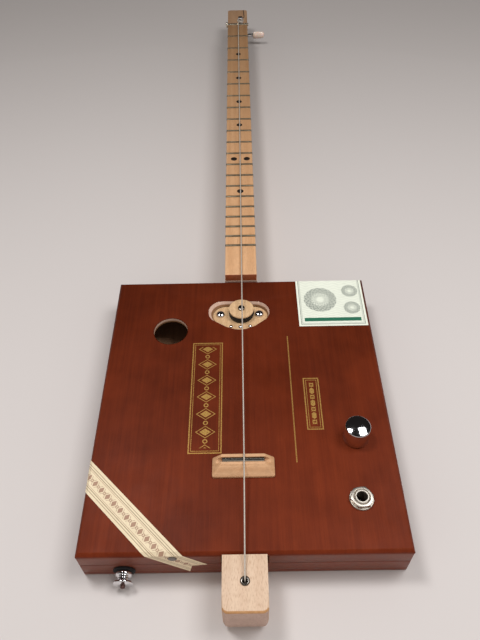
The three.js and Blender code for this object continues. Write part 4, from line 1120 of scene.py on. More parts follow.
@dataclass
class Box:
    """The lidded box: a lid board over lid walls, tray walls and a base."""

    finishes: Finishes
    half_width: float = HALF_WIDTH
    half_length: float = HALF_LENGTH
    height: float = LID_TOP
    lid: float = 3.6
    bevel: float = BEVEL
    base: float = 3.6
    wall: float = 8.0
    seam_low: float = 14.65
    seam_high: float = 14.95
    edge: float = 0.5
    rim: float = 0.4
    outer_strip: float = 4.0
    lid_notch: float = 14.0
    tray_notch: float = 13.3
    sound_hole: Point = (-53.5, 58.0, 12.7)
    knob_hole: Point = (73.5, -35.6, 5.05)
    jack_hole: Point = (71.3, -78.4, 5.05)
    strap_hole: Point = (-72.5, 7.3, 1.9)
    ears: tuple[Point, Point] = ((-14.0, 76.8, 11.7), (10.3, 76.3, 11.6))
    ear_turn: float = 44.0
    chin: Point = (-1.2, 79.8, 21.1)
    chin_turn: float = 58.5
    window_middle: Pair = (-2.0, 73.4)
    window_foot: Point = (0.9, 0.89, 0.83)

    def window(self) -> list[Pair]:
        """List the corners of the opening over the pickup: two ears and a chin."""
        (left_x, left_y, left_radius), (right_x, right_y, right_radius) = self.ears
        chin_x, chin_y, chin_radius = self.chin
        return (arc((right_x, right_y), right_radius, 90, -self.ear_turn, 18)
                + arc((chin_x, chin_y), chin_radius, -self.chin_turn, self.chin_turn - 180, 18)
                + arc((left_x, left_y), left_radius, self.ear_turn - 180, -270, 18))

    def hole_tool(self, name: str, place: Point) -> Thing:
        """Make a cutter for a round hole with a fine cove round its rim."""
        x, y, radius = place
        outer = radius + self.rim
        rim = arc((outer, self.lid), self.rim, 180, 270, 3)
        profile = [(0, -2), (radius, -2), *rim, (outer, self.lid + 2), (0, self.lid + 2)]
        return turn(name, profile, (x, y, self.height - self.lid), steps=64)

    def window_tool(self, under: float) -> Thing:
        """Make the cutter for the opening over the pickup, whose walls slope in towards the lid's underside."""
        tool = draw_out("window_tool", self.window(), Line.UP, under, self.height)
        (x, y), (shift, across, along) = self.window_middle, self.window_foot
        choose(tool, Kind.FACES, lambda corners: all_at(corners, 2, under))
        bpy.ops.transform.resize(value=(across, along, 1.0), center_override=(x * MM, y * MM, under * MM))
        bpy.ops.transform.translate(value=(shift * MM, 0.0, 0.0))
        pull(0, 0, -2)
        choose(tool, Kind.FACES, lambda corners: all_at(corners, 2, self.height))
        pull(0, 0, 2)
        close_skin(tool)
        return tool

    def lid_board(self) -> Thing:
        """Make the lid board with its bevel and its four openings."""
        under = self.height - self.lid
        board = block("lid_top", (-self.half_width, -self.half_length, under),
                      (self.half_width, self.half_length, self.height))
        round_edges(board, self.bevel, lambda ends: all_at(ends, 2, self.height), steps=1)
        line = self.height - self.bevel
        round_edges(board, 0.35, lambda ends: all_at(ends, 2, self.height) or all_at(ends, 2, line), steps=3)
        combine(board, self.window_tool(under))
        round_edges(board, self.rim, lambda ends: (
            all_at(ends, 2, self.height, slack=0.005)
            and all(abs(end.x) < 30 and 50 < end.y < 95 for end in ends)))
        for name, place in (("sound", self.sound_hole), ("knob", self.knob_hole), ("jack", self.jack_hole)):
            combine(board, self.hole_tool(name + "_tool", place))
        give_materials(board, self.finishes.lid, self.finishes.ply, self.finishes.inside)
        paint(board, 1, lambda middle, normal: (
            abs(middle.x) < self.half_width - self.outer_strip
            and abs(middle.y) < self.half_length - self.outer_strip
            and middle.z < self.height - self.rim - 0.02 and abs(normal.z) < 0.9))
        paint(board, 2, lambda middle, normal: normal.z < -0.9)
        return smooth(board)

    def walls(self, name: str, low: float, high: float, notch: float, drilled: bool = False) -> Thing:
        """Make the six boards of one frame, the end boards in halves beside the stick.

        Args:
            name: The frame's name.
            low: Its lower edge.
            high: Its upper edge.
            notch: Half the gap left for the stick.
            drilled: Whether its tail board has the strap button's hole.

        Returns:
            The frame.
        """
        inner = self.half_width - self.wall
        end = self.half_length - self.wall
        boards = []
        for side in (-1, 1):
            near, far = sorted((side * inner, side * self.half_width))
            boards.append(block(f"{name}_side", (near, -end, low), (far, end, high)))
            for half in (-1, 1):
                left, right = sorted((half * notch, half * self.half_width))
                tail, head = sorted((side * end, side * self.half_length))
                boards.append(block(f"{name}_end", (left, tail, low), (right, head, high)))
        for board in boards:
            soften(board, self.edge, 3)
        if drilled:
            x, z, radius = self.strap_hole
            bore(boards[1], (x, -self.half_length + 12, z), radius, 0, 20, Line.TAILWARD, 24)
        frame_piece = gather(*boards)
        frame_piece.name = name
        give_materials(frame_piece, self.finishes.wall, self.finishes.inside)
        halves = (self.half_width, self.half_length)
        paint(frame_piece, 1, lambda middle, normal: any(
            abs(middle[axis]) < half - 6 and abs(normal[axis]) > 0.7 and middle[axis] * normal[axis] < 0
            for axis, half in enumerate(halves)))
        return smooth(frame_piece)

    def base_board(self) -> Thing:
        """Make the base."""
        width, length = self.half_width, self.half_length
        board = block("base", (-width, -length, 0.0), (width, length, self.base))
        soften(board, self.edge, 3)
        give_materials(board, self.finishes.wall, self.finishes.inside)
        paint(board, 1, lambda middle, normal: normal.z > 0.9)
        return smooth(board)

    def build(self) -> None:
        """Build the box's pieces."""
        hand_over(self.lid_board(), "lid_lacquer", "lid_board")
        sides = ("left", "right", "tail_left", "tail_right", "neck_left", "neck_right")
        lid_walls = self.walls("lid_frame", self.seam_high, self.height - self.lid, self.lid_notch)
        hand_over(lid_walls, "wall_lacquer", *(f"lid_wall_{side}" for side in sides))
        tray_walls = self.walls("tray_frame", self.base, self.seam_low, self.tray_notch, drilled=True)
        hand_over(tray_walls, "wall_lacquer", *(f"tray_wall_{side}" for side in sides))
        hand_over(self.base_board(), "wall_lacquer", "base_board")


@dataclass
class Neck:
    """The stick that runs through the box, its fretted board, the dots and the screw that is the nut."""

    finishes: Finishes
    half: float = 13.0
    low: float = 3.9
    top: float = LID_TOP
    tail: float = -142.4
    head: float = 642.59
    box_end: float = 110.8
    middle_top: float = LID_UNDER
    pocket: Point = (55.2, 86.8, 23.1)
    ramp: Pair = (564.2, 584.2)
    head_low: float = HEADSTOCK_UNDER
    corner: float = 3.4
    back: float = 3.5
    tail_edge: float = 1.2
    ferrule_y: float = FERRULE_Y
    string_bore: float = 1.2
    ferrule_bore: float = 2.35
    ferrule_depth: float = 8.3
    ball_bore: float = 2.3
    ball_depth: float = 4.2
    post_bore: float = 4.0
    screw_bore: float = 1.8
    screw_bore_foot: float = 12.8
    post: Pair = POST
    saddle_y: float = -53.8025
    scale: float = 635.0
    frets: int = 20
    board_half: float = 12.7
    board_low: float = 30.0
    board_top: float = 36.7
    board_end: float = 585.6
    nut: Pair = NUT
    nut_radius: float = NUT_RADIUS
    lip_drop: float = 1.5
    fret_half: float = 12.9
    fret_width: float = 2.2
    fret_crown: float = 0.9
    filed_share: float = 0.955
    tang: Pair = (0.6, 1.8)
    tang_share: float = 0.42
    dot_radius: float = 3.1
    single_dots: tuple[int, ...] = (3, 5, 7, 9, 15)
    double_dot: int = 12
    dot_x: float = 0.5
    double_x: Pair = (-5.3, 7.3)

    def fret_y(self, number: int) -> float:
        """Give the place of a fret along the neck; nought is the nut."""
        return self.saddle_y + self.scale * 2 ** (-number / 12)

    def stick(self) -> Thing:
        """Make the stick: its side outline, rounded back edges, rounded end corners, and its bores."""
        low, top, carved = self.low, self.top, self.middle_top
        ramp_from, ramp_to = self.ramp
        pocket_from, pocket_to, floor = self.pocket
        slope = [(ramp_from + (ramp_to - ramp_from) * share / 16,
                  low + (self.head_low - low) * (1 - math.cos(math.pi * share / 16)) / 2) for share in range(17)]
        outline = [(self.tail, low), *slope, (self.head, self.head_low), (self.head, top),
                   (self.box_end, top), (self.box_end, carved), (pocket_to, carved), (pocket_to, floor),
                   (pocket_from, floor), (pocket_from, carved), (-self.box_end, carved),
                   (-self.box_end, top), (self.tail, top)]
        stick = draw_out("stick", outline, Line.RIGHT, -self.half, self.half)
        for face in (self.tail, self.head):
            round_edges(stick, self.corner, lambda ends, face=face: (
                all_at(ends, 0, self.half) and all(abs(end.y - face) < 0.1 for end in ends)
                and abs(ends[0].z - ends[1].z) > self.corner), steps=8)
        round_edges(stick, self.tail_edge, lambda ends: (
            all_at(ends, 2, self.top) and all(end.y < self.tail + self.corner + 0.1 for end in ends)), steps=6)
        shell = block("back_tool", (-self.half, self.tail - 1, low), (self.half, self.head + 1, top + 20))
        round_edges(shell, self.back, lambda ends: all_at(ends, 0, self.half) and all_at(ends, 2, low),
                    steps=8)
        combine(stick, shell, Join.COMMON)
        soften(stick, 0.5, 2, 40)
        string_foot = (0.0, self.ferrule_y, 0.0)
        bore(stick, string_foot, self.string_bore, low - 2, low + 38)
        bore(stick, string_foot, self.ferrule_bore, top - self.ferrule_depth, top + 4)
        bore(stick, string_foot, self.ball_bore, low - 2, low + self.ball_depth)
        bore(stick, (*self.post, 0.0), self.post_bore, low, low + 40)
        for place in PICKUP_SCREWS:
            bore(stick, (*place, 0.0), self.screw_bore, self.screw_bore_foot, top)
        give_materials(stick, self.finishes.stick, self.finishes.honey, self.finishes.end_grain)
        paint(stick, 1, lambda middle, normal: middle.y < self.tail + 5 and normal.y < -0.1 and (
            normal.z > 0.2 or abs(normal.x) > 0.5))
        paint(stick, 2, lambda middle, normal: abs(normal.y) > 0.6 and abs(normal.z) < 0.2)
        return smooth(stick)

    def board(self) -> Thing:
        """Make the fretboard with its slots, the nut's groove and the lip behind it."""
        board = block("fingerboard", (-self.board_half, self.box_end, self.board_low),
                      (self.board_half, self.board_end, self.board_top))
        soften(board, 0.45, 3)
        nut_y, nut_z = self.nut
        bore(board, (0.0, nut_y, nut_z), self.nut_radius, -20, 20, Line.RIGHT)
        combine(board, block("lip_tool", (-20, nut_y, self.board_top - self.lip_drop), (20, nut_y + 10, 50)))
        width, depth = self.tang
        slots = [block(f"slot_{number}", (-20, self.fret_y(number) - width / 2, self.board_top - depth - 0.1),
                       (20, self.fret_y(number) + width / 2, 50)) for number in range(1, self.frets + 1)]
        combine(board, gather(*slots))
        give_materials(board, self.finishes.board, self.finishes.board_end)
        # Painted red bounce light and shade on the board's end face at the box.
        paint(board, 1, lambda middle, normal: normal.y < -0.6 and middle.y < self.box_end + 1)
        return smooth(board)

    def fret_wires(self) -> list[Thing]:
        """Make one fret with a domed crown, a tang and filed ends, and copy it to each place."""
        width, depth = self.tang
        top, half_tang = self.board_top, self.tang_share * width
        crown = [(self.fret_width / 2 * x, top + self.fret_crown * z)
                 for x, z in arc((0.0, 0.0), 1.0, 0, 180, 12)]
        outline = [(half_tang, top - depth), (half_tang, top + 0.01), *crown, (-half_tang, top + 0.01),
                   (-half_tang, top - depth)]
        first = draw_out("fretwire_01", outline, Line.RIGHT, -self.fret_half, self.fret_half)
        choose(first, Kind.POINTS, lambda place: (
            abs(place[0].x) > self.fret_half - 0.1 and place[0].z > top + 0.4))
        bpy.ops.transform.resize(value=(self.filed_share, 1.0, 1.0))
        put_down()
        soften(first, 0.12, 2, 50)
        smooth(first, 40)
        wires = [copied(first, f"fretwire_{number:02d}", (0.0, self.fret_y(number), 0.0))
                 for number in range(2, self.frets + 1)]
        first.location = (0.0, self.fret_y(1) * MM, 0.0)
        settle(first)
        return [first, *wires]

    def dots(self) -> Thing:
        """Make the position dots, each midway between two frets."""
        marks = [(self.dot_x, number) for number in self.single_dots]
        marks += [(x, self.double_dot) for x in self.double_x]
        places = [(x, (self.fret_y(number) + self.fret_y(number - 1)) / 2) for x, number in marks]
        radius = self.dot_radius
        profile = [(0, 0), (radius, 0), (radius, 0.42), (radius - 0.12, 0.5), (0, 0.53)]
        first = turn("fret_dots", profile, (*places[0], self.board_top - 0.48), steps=32)
        return smooth(repeated(first, places))

    def nut_screw(self) -> Thing:
        """Make the slotted pan-head screw that lies across the board's end."""
        y, z = self.nut
        profile = [(0.0, 0.2), (1.6, 0.2), (2.6, 0.5), (3.15, 1.1), (3.3, 1.8), (3.3, 2.5), (3.2, 2.6),
                   (0.0, 2.6)]
        head = turn("nut_screw", profile, (-15.6, y, z), Line.RIGHT, 40)
        combine(head, block("slot_tool", (-17.0, y - 0.45, z - 5), (-14.3, y + 0.45, z + 5)))
        soften(head, 0.1, 2)
        gather(head, screw_thread("nut_thread", (-13.1, y, z), (1.72, self.nut_radius), 0.8, 34))
        return smooth(head)

    def build(self) -> None:
        """Build the neck's pieces."""
        finishes = self.finishes
        hand_over(self.stick(), "maple", "neck_stick")
        hand_over(self.board(), "maple", "fretboard")
        for number, wire in enumerate(self.fret_wires(), start=1):
            hand_over(wire, "fret_wire", f"fret_{number:02d}", finish=finishes.fret)
        hand_over(self.dots(), "", finish=finishes.ink)
        hand_over(self.nut_screw(), "plated_steel", "nut_bolt", finish=finishes.nickel)


@dataclass
class Bridge:
    """The hip-roofed bridge block with the metal rod that lies in its groove."""

    finishes: Finishes
    middle_y: float = -56.5
    half_long: float = 19.65
    half_deep: float = 6.8
    foot: float = 30.0
    foot_corner: float = 1.3
    slope_foot: float = 31.8
    top: float = 37.7
    top_y: float = -54.3
    top_half_long: float = 13.9
    top_half_deep: float = 3.6
    rod: Pair = (-54.5, 36.9)
    rod_radius: float = 1.6
    rod_half: float = 13.3

    def wood(self) -> Thing:
        """Make the block: its foot, the four slopes and the groove."""
        wood = block("bridge_block", (-self.half_long, self.middle_y - self.half_deep, self.foot),
                     (self.half_long, self.middle_y + self.half_deep, self.slope_foot))
        round_edges(wood, self.foot_corner, lambda ends: abs(ends[0].z - ends[1].z) > 1, steps=4)
        choose(wood, Kind.FACES, lambda corners: all_at(corners, 2, self.slope_foot))
        pull(0, 0, self.top - self.slope_foot)
        bpy.ops.transform.resize(
            value=(self.top_half_long / self.half_long, self.top_half_deep / self.half_deep, 1.0),
            center_override=(0.0, self.middle_y * MM, self.top * MM))
        bpy.ops.transform.translate(value=(0.0, (self.top_y - self.middle_y) * MM, 0.0))
        put_down()
        soften(wood, 0.5, 3, 20)
        y, z = self.rod
        half = self.rod_radius + 0.08
        foot = z - self.rod_radius
        outline = [*arc((y, foot + 0.5), half, 180, 360, 8), (y + half, z + 5), (y - half, z + 5)]
        combine(wood, draw_out("groove_tool", outline, Line.RIGHT, -25, 25))
        return smooth(wood)

    def saddle(self) -> Thing:
        """Make the rod with its small chamfers."""
        radius, length = self.rod_radius, 2 * self.rod_half
        end = radius - 0.3
        profile = [(0, 0), (end, 0), (radius, 0.3), (radius, length - 0.3), (end, length), (0, length)]
        rod = turn("saddle_rod", profile, (-self.rod_half, *self.rod), Line.RIGHT, 32)
        return smooth(rod, 30)

    def build(self) -> None:
        """Build the bridge's pieces."""
        hand_over(self.wood(), "pale_maple", "bridge_base", finish=self.finishes.bridge)
        hand_over(self.saddle(), "polished_chrome", "bridge_saddle", finish=self.finishes.rod)


@dataclass
class StringSet:
    """The wound string from its ball end to the post, its turns on the post, and the ferrule."""

    finishes: Finishes
    radius: float = 0.5
    wrap: float = 0.4
    ferrule_y: float = FERRULE_Y
    top: float = LID_TOP
    pocket_top: float = 4.2
    bend: float = 2.2
    saddle: Point = (0.5, -54.5, 39.0)
    nut: Point = (*NUT, NUT_RADIUS)
    nut_x: float = 1.0
    post: Point = (*POST, 3.3)
    end_z: float = 32.3
    turns: float = 2.25
    turn_steps: int = 24
    low_turn: float = 34.8
    lead_in: float = 0.4
    lead_rise: float = 0.3
    turn_rise: float = 1.08
    trimmed_route: tuple[Point, ...] = ((0.5, 0.0, 0.0), (3.4, 0.1, 0.0), (4.6, 1.6, 0.4), (4.9, 5.0, 1.0),
                                        (4.2, 20.7, 1.8))
    hole_z: float = POST_HOLE_Z

    def straight(self) -> list[Vector]:
        """List the places of the string from the ball to the post."""
        bend_y, bend_z = self.ferrule_y + self.bend, self.top - 0.1
        saddle_x, saddle_y, saddle_z = self.saddle
        slope = math.atan2(saddle_z - bend_z - self.bend, saddle_y - bend_y)
        curve = arc((bend_y, bend_z), self.bend, 180, 90 + math.degrees(slope), 8)
        nut_y, nut_z, nut_radius = self.nut
        over = nut_radius + self.radius
        fall = math.atan2(nut_z + over - self.end_z, self.post[1] - nut_y)
        crest = arc((nut_y, nut_z), over, 91, 90 - math.degrees(fall), 4)
        tail = [(0.0, self.ferrule_y, self.pocket_top + 1.5), (0.0, self.ferrule_y, 20.0),
                *((0.0, y, z) for y, z in curve), self.saddle]
        head = [(self.nut_x, y, z) for y, z in crest]
        return [Vector(place) for place in (*tail, *head, (0.0, self.post[1], self.end_z))]

    def wound(self, name: str, places: list[Vector], sides: int = 8) -> Thing:
        """Lay a wound string along a line of places.

        Args:
            name: The string's name.
            places: The line that it follows.
            sides: Facets round it.

        Returns:
            The string, with closed ends.
        """
        length = sum((after - before).length for before, after in zip(places, places[1:]))
        count = int(length / self.wrap)
        step = length / count
        valley = 0.88 * self.radius
        ring = trace("wrap", [Vector((0, valley, 0)), Vector((0.3 * step, self.radius, 0)),
                              Vector((0.7 * step, self.radius, 0)), Vector((step, valley, 0))])
        work_on(ring)
        bpy.ops.mesh.spin(steps=sides, angle=FULL_TURN, center=(0, 0, 0), axis=(1, 0, 0))
        close_skin(ring)
        path = trace("string_path", places)
        take_up(path)
        bpy.ops.object.convert(target="CURVE")
        path = bpy.context.active_object
        modify(ring, "ARRAY", count=count, use_relative_offset=False, use_constant_offset=True,
               constant_offset_displace=(step * MM, 0, 0), use_merge_vertices=True, merge_threshold=0.000005)
        modify(ring, "CURVE", object=path, deform_axis="POS_X")
        ring.name = name
        take_up(path)
        bpy.ops.object.delete()
        work_on(ring)
        bpy.ops.mesh.fill_holes(sides=sides)
        close_skin(ring)
        return smooth(ring, 60)

    def main_string(self) -> Thing:
        """Make the string with its ball."""
        places = self.straight()
        dense = [places[0]]
        for before, after in zip(places, places[1:]):
            pieces = max(1, int((after - before).length / 20))
            dense += [before.lerp(after, step / pieces) for step in range(1, pieces + 1)]
        string = self.wound("wound_string", dense)
        profile = [(0.6, 0.2), (1.7, 0.0), (2.0, 0.4), (1.7, 1.2), (1.7, 2.2), (2.0, 3.0), (1.7, 3.4),
                   (0.6, 3.2), (0.6, 0.2)]
        ball = turn("ball_end", profile, (0.0, self.ferrule_y, self.pocket_top), steps=24)
        return gather(string, smooth(ball))

    def turns_on_post(self) -> Thing:
        """Make the turns round the post and the trimmed end that comes out of its hole."""
        x, y, radius = self.post
        around = radius + self.radius
        places = []
        for step in range(int(self.turns * self.turn_steps) + 1):
            turned = step / self.turn_steps
            angle = math.pi - FULL_TURN * turned
            height = (self.low_turn + self.lead_rise * min(1.0, turned / self.lead_in)
                      + self.turn_rise * max(0.0, turned - self.lead_in))
            places.append(Vector((x + around * math.cos(angle), y + around * math.sin(angle), height)))
        turns = self.wound("post_turns", places)
        give_materials(turns, self.finishes.string)
        hole = Vector((x, y, self.hole_z))
        end = self.wound("trimmed_end", flowing([hole + Vector(place) for place in self.trimmed_route], 8))
        # Painted shade: the trimmed end is the string's own wire but dressed in dark steel, so that it shows as a
        # dark streak with its shadow.
        give_materials(end, self.finishes.dark_steel)
        return gather(turns, end)

    def ferrule(self) -> Thing:
        """Make the ferrule in the tail block."""
        profile = [(1.3, 0), (2.2, 0), (2.2, 8.0), (2.8, 8.05), (2.8, 8.35), (2.5, 8.75), (2.0, 8.95),
                   (1.6, 8.85), (1.3, 8.4), (1.3, 0)]
        ferrule = turn("ferrule", profile, (0.0, self.ferrule_y, self.top - 8.0), steps=40)
        return smooth(ferrule, 50)

    def build(self) -> None:
        """Build the string's pieces."""
        finishes = self.finishes
        hand_over(self.main_string(), "string_wire", "string", finish=finishes.string)
        hand_over(self.turns_on_post(), "string_wire", "string_winding", body=Body.POST)
        hand_over(self.ferrule(), "plated_steel", "string_ferrule", finish=finishes.dark_steel)


@dataclass
class Tuner:
    """The worm-drive tuner: post and gear, bushing, plate with ears, worm shaft, button and screws."""

    finishes: Finishes
    post: Pair = POST
    post_foot: float = 10.25
    post_top: float = 40.7
    post_radius: float = 3.0
    hole_z: float = POST_HOLE_Z
    hole_radius: float = 0.9
    gear_z: float = 12.75
    gear_half: float = 1.5
    teeth: int = 14
    gear_tip: float = 5.8
    gear_root: float = 4.94
    worm_y: float = 602.6908
    worm_half: float = 5.0
    shaft_from: float = -4.4
    shaft_to: float = 29.5
    shaft_radius: float = 1.5
    plate: tuple[float, float, float, float] = (-3.8, 11.4, 584.9975, 611.6908)
    plate_z: Pair = (16.5, 17.7)
    plate_corner: float = 3.8
    plate_bore: float = 3.25
    screw_inset: float = 2.7
    ear: Point = (5.3, 1.4, 3.5)
    ear_foot: float = 10.15
    ear_bore: float = 1.75
    head_top: float = LID_TOP
    collar: tuple[Pair, ...] = ((1.5, 14.0), (1.9, 14.1), (2.15, 14.4), (2.15, 17.7), (1.8, 18.0),
                                (1.8, 18.7), (2.3, 19.2), (2.45, 20.6), (1.5, 20.7))
    button_from: float = 20.8
    button_to: float = 35.8
    button_radius: float = 4.6
    button_flat: float = 0.652
    button_bore: float = 1.65

    def post_and_gear(self) -> Thing:
        """Make the post with its waist and hole, on the gear that the worm drives."""
        rise = self.post_top - self.post_foot
        radius = self.post_radius
        waist = self.head_top + 5.6 - self.post_foot
        profile = [(0, 0), (2.5, 0), (2.7, 0.2), (2.7, 1.0), (radius, 1.0), (radius, waist - 3.2),
                   (2.9, waist - 2), (2.8, waist), (2.9, waist + 1.9), (radius, waist + 2.6),
                   (radius, rise - 0.6), (radius - 0.2, rise - 0.2), (radius - 0.6, rise), (0, rise)]
        post = turn("post", profile, (*self.post, self.post_foot), steps=40)
        bore(post, (*self.post, self.hole_z), self.hole_radius, -8, 8, Line.RIGHT, 24)
        outline = []
        for tooth in range(self.teeth):
            for radius, share in ((self.gear_root, 0.25), (self.gear_tip, 0.4), (self.gear_tip, 0.6),
                                  (self.gear_root, 0.75)):
                angle = math.pi / 2 + FULL_TURN / self.teeth * (tooth + share)
                outline.append((self.post[0] + radius * math.cos(angle),
                                self.post[1] + radius * math.sin(angle)))
        gear = draw_out("gear", outline, Line.UP, self.gear_z - self.gear_half, self.gear_z + self.gear_half)
        soften(gear, 0.12, 1)
        combine(post, gear, Join.TOGETHER)
        return smooth(post)

    def bushing(self) -> Thing:
        """Make the bushing with its rounded flange."""
        profile = [(3.25, 0), (3.9, 0), (3.9, 9.9), (4.4, 9.95), (4.5, 10.15), (4.45, 10.55), (4.1, 10.85),
                   (3.5, 10.9), (3.25, 10.7), (3.25, 0)]
        bushing = turn("post_bushing", profile, (*self.post, self.head_top - 10.0), steps=48)
        return smooth(bushing, 50)

    def base_plate(self) -> Thing:
        """Make the plate under the headstock with its two bent ears and its screws."""
        left, right, low, high = self.plate
        bottom, top = self.plate_z
        outline = rounded_box(left, right, low, high, self.plate_corner)
        plate = draw_out("tuner_base", outline, Line.UP, bottom, top)
        bore(plate, (*self.post, bottom - 4), self.plate_bore, 0, 10)
        offset, thick, half = self.ear
        for from_x in (self.post[0] - offset - thick, self.post[0] + offset):
            outline = [(self.worm_y - half, top - 0.6), (self.worm_y - half, self.ear_foot + 2),
                       *arc((self.worm_y, self.ear_foot + half), half, 200, 340, 10),
                       (self.worm_y + half, self.ear_foot + 2), (self.worm_y + half, top - 0.6)]
            ear = draw_out("ear", outline, Line.RIGHT, from_x, from_x + thick)
            bore(ear, (from_x, self.worm_y, self.gear_z), self.ear_bore, -10, 10, Line.RIGHT, 24)
            combine(plate, ear, Join.TOGETHER)
        soften(plate, 0.2, 2)
        profile = [(0, 0), (1.0, 0), (2.0, 0.3), (2.4, 0.9), (2.4, 1.1), (1.2, 1.1), (1.2, 2.4), (0, 2.4)]
        screws = []
        for y in (low + self.screw_inset, high - self.screw_inset - 0.2):
            screw = turn("screw", profile, (self.post[0], y, bottom - 1.1), steps=24)
            combine(screw, block("slot", (self.post[0] - 4, y - 0.3, bottom - 3),
                                 (self.post[0] + 4, y + 0.3, bottom - 0.6)))
            screws.append(screw)
        gather(plate, *screws)
        return smooth(plate)

    def worm_shaft(self) -> Thing:
        """Make the worm on its shaft."""
        start = self.shaft_from
        middle = self.post[0] - start
        radius = self.shaft_radius
        low, high = middle - self.worm_half, middle + self.worm_half
        profile = [(0, 0), (radius - 0.25, 0), (radius, 0.25), (radius, low), (2.5, low), (2.5, high),
                   (radius, high),
                   *((across, along - start) for across, along in self.collar),
                   (radius, self.shaft_to - start), (0, self.shaft_to - start)]
        shaft = turn("worm_rod", profile, (start, self.worm_y, self.gear_z), Line.RIGHT, 32)
        foot = (self.post[0] - 3.9, self.worm_y, self.gear_z)
        return smooth(gather(shaft, screw_thread("worm_thread", foot, (2.3, 3.4), 2.6, 3)))

    def button(self) -> Thing:
        """Make the flattened pearl button, its broad sides upright as the photograph shows it."""
        radius, length = self.button_radius, self.button_to - self.button_from
        shares = [(0.0, 0.0), (0.5, 0.0), (0.7, 0.01), (0.86, 0.05), (0.96, 0.13), (1.0, 0.25), (1.0, 0.5),
                  (0.97, 0.7), (0.9, 0.84), (0.78, 0.93), (0.6, 0.98), (0.35, 1.0), (0.0, 1.0)]
        button = turn("pearl_button", [(radius * across, length * along) for across, along in shares],
                      (self.button_from, self.worm_y, self.gear_z), Line.RIGHT, 64)
        choose(button, Kind.POINTS, lambda place: True)
        bpy.ops.transform.resize(value=(1.0, self.button_flat, 1.0),
                                 center_override=(0.0, self.worm_y * MM, self.gear_z * MM))
        put_down()
        bore(button, (self.button_from, self.worm_y, self.gear_z), self.button_bore, -5, 9, Line.RIGHT)
        return smooth(button, 50)

    def build(self) -> None:
        """Build the tuner's pieces."""
        finishes = self.finishes
        hand_over(self.post_and_gear(), "polished_chrome", "tuner_post", finish=finishes.chrome,
                  body=Body.POST)
        hand_over(self.bushing(), "polished_chrome", "tuner_bushing", finish=finishes.chrome)
        hand_over(self.base_plate(), "plated_steel", "tuner_plate", finish=finishes.nickel)
        hand_over(self.worm_shaft(), "polished_chrome", "tuner_worm_shaft", finish=finishes.chrome,
                  body=Body.WORM)
        hand_over(self.button(), "pearl_plastic", "tuner_button", finish=finishes.pearl, body=Body.WORM)


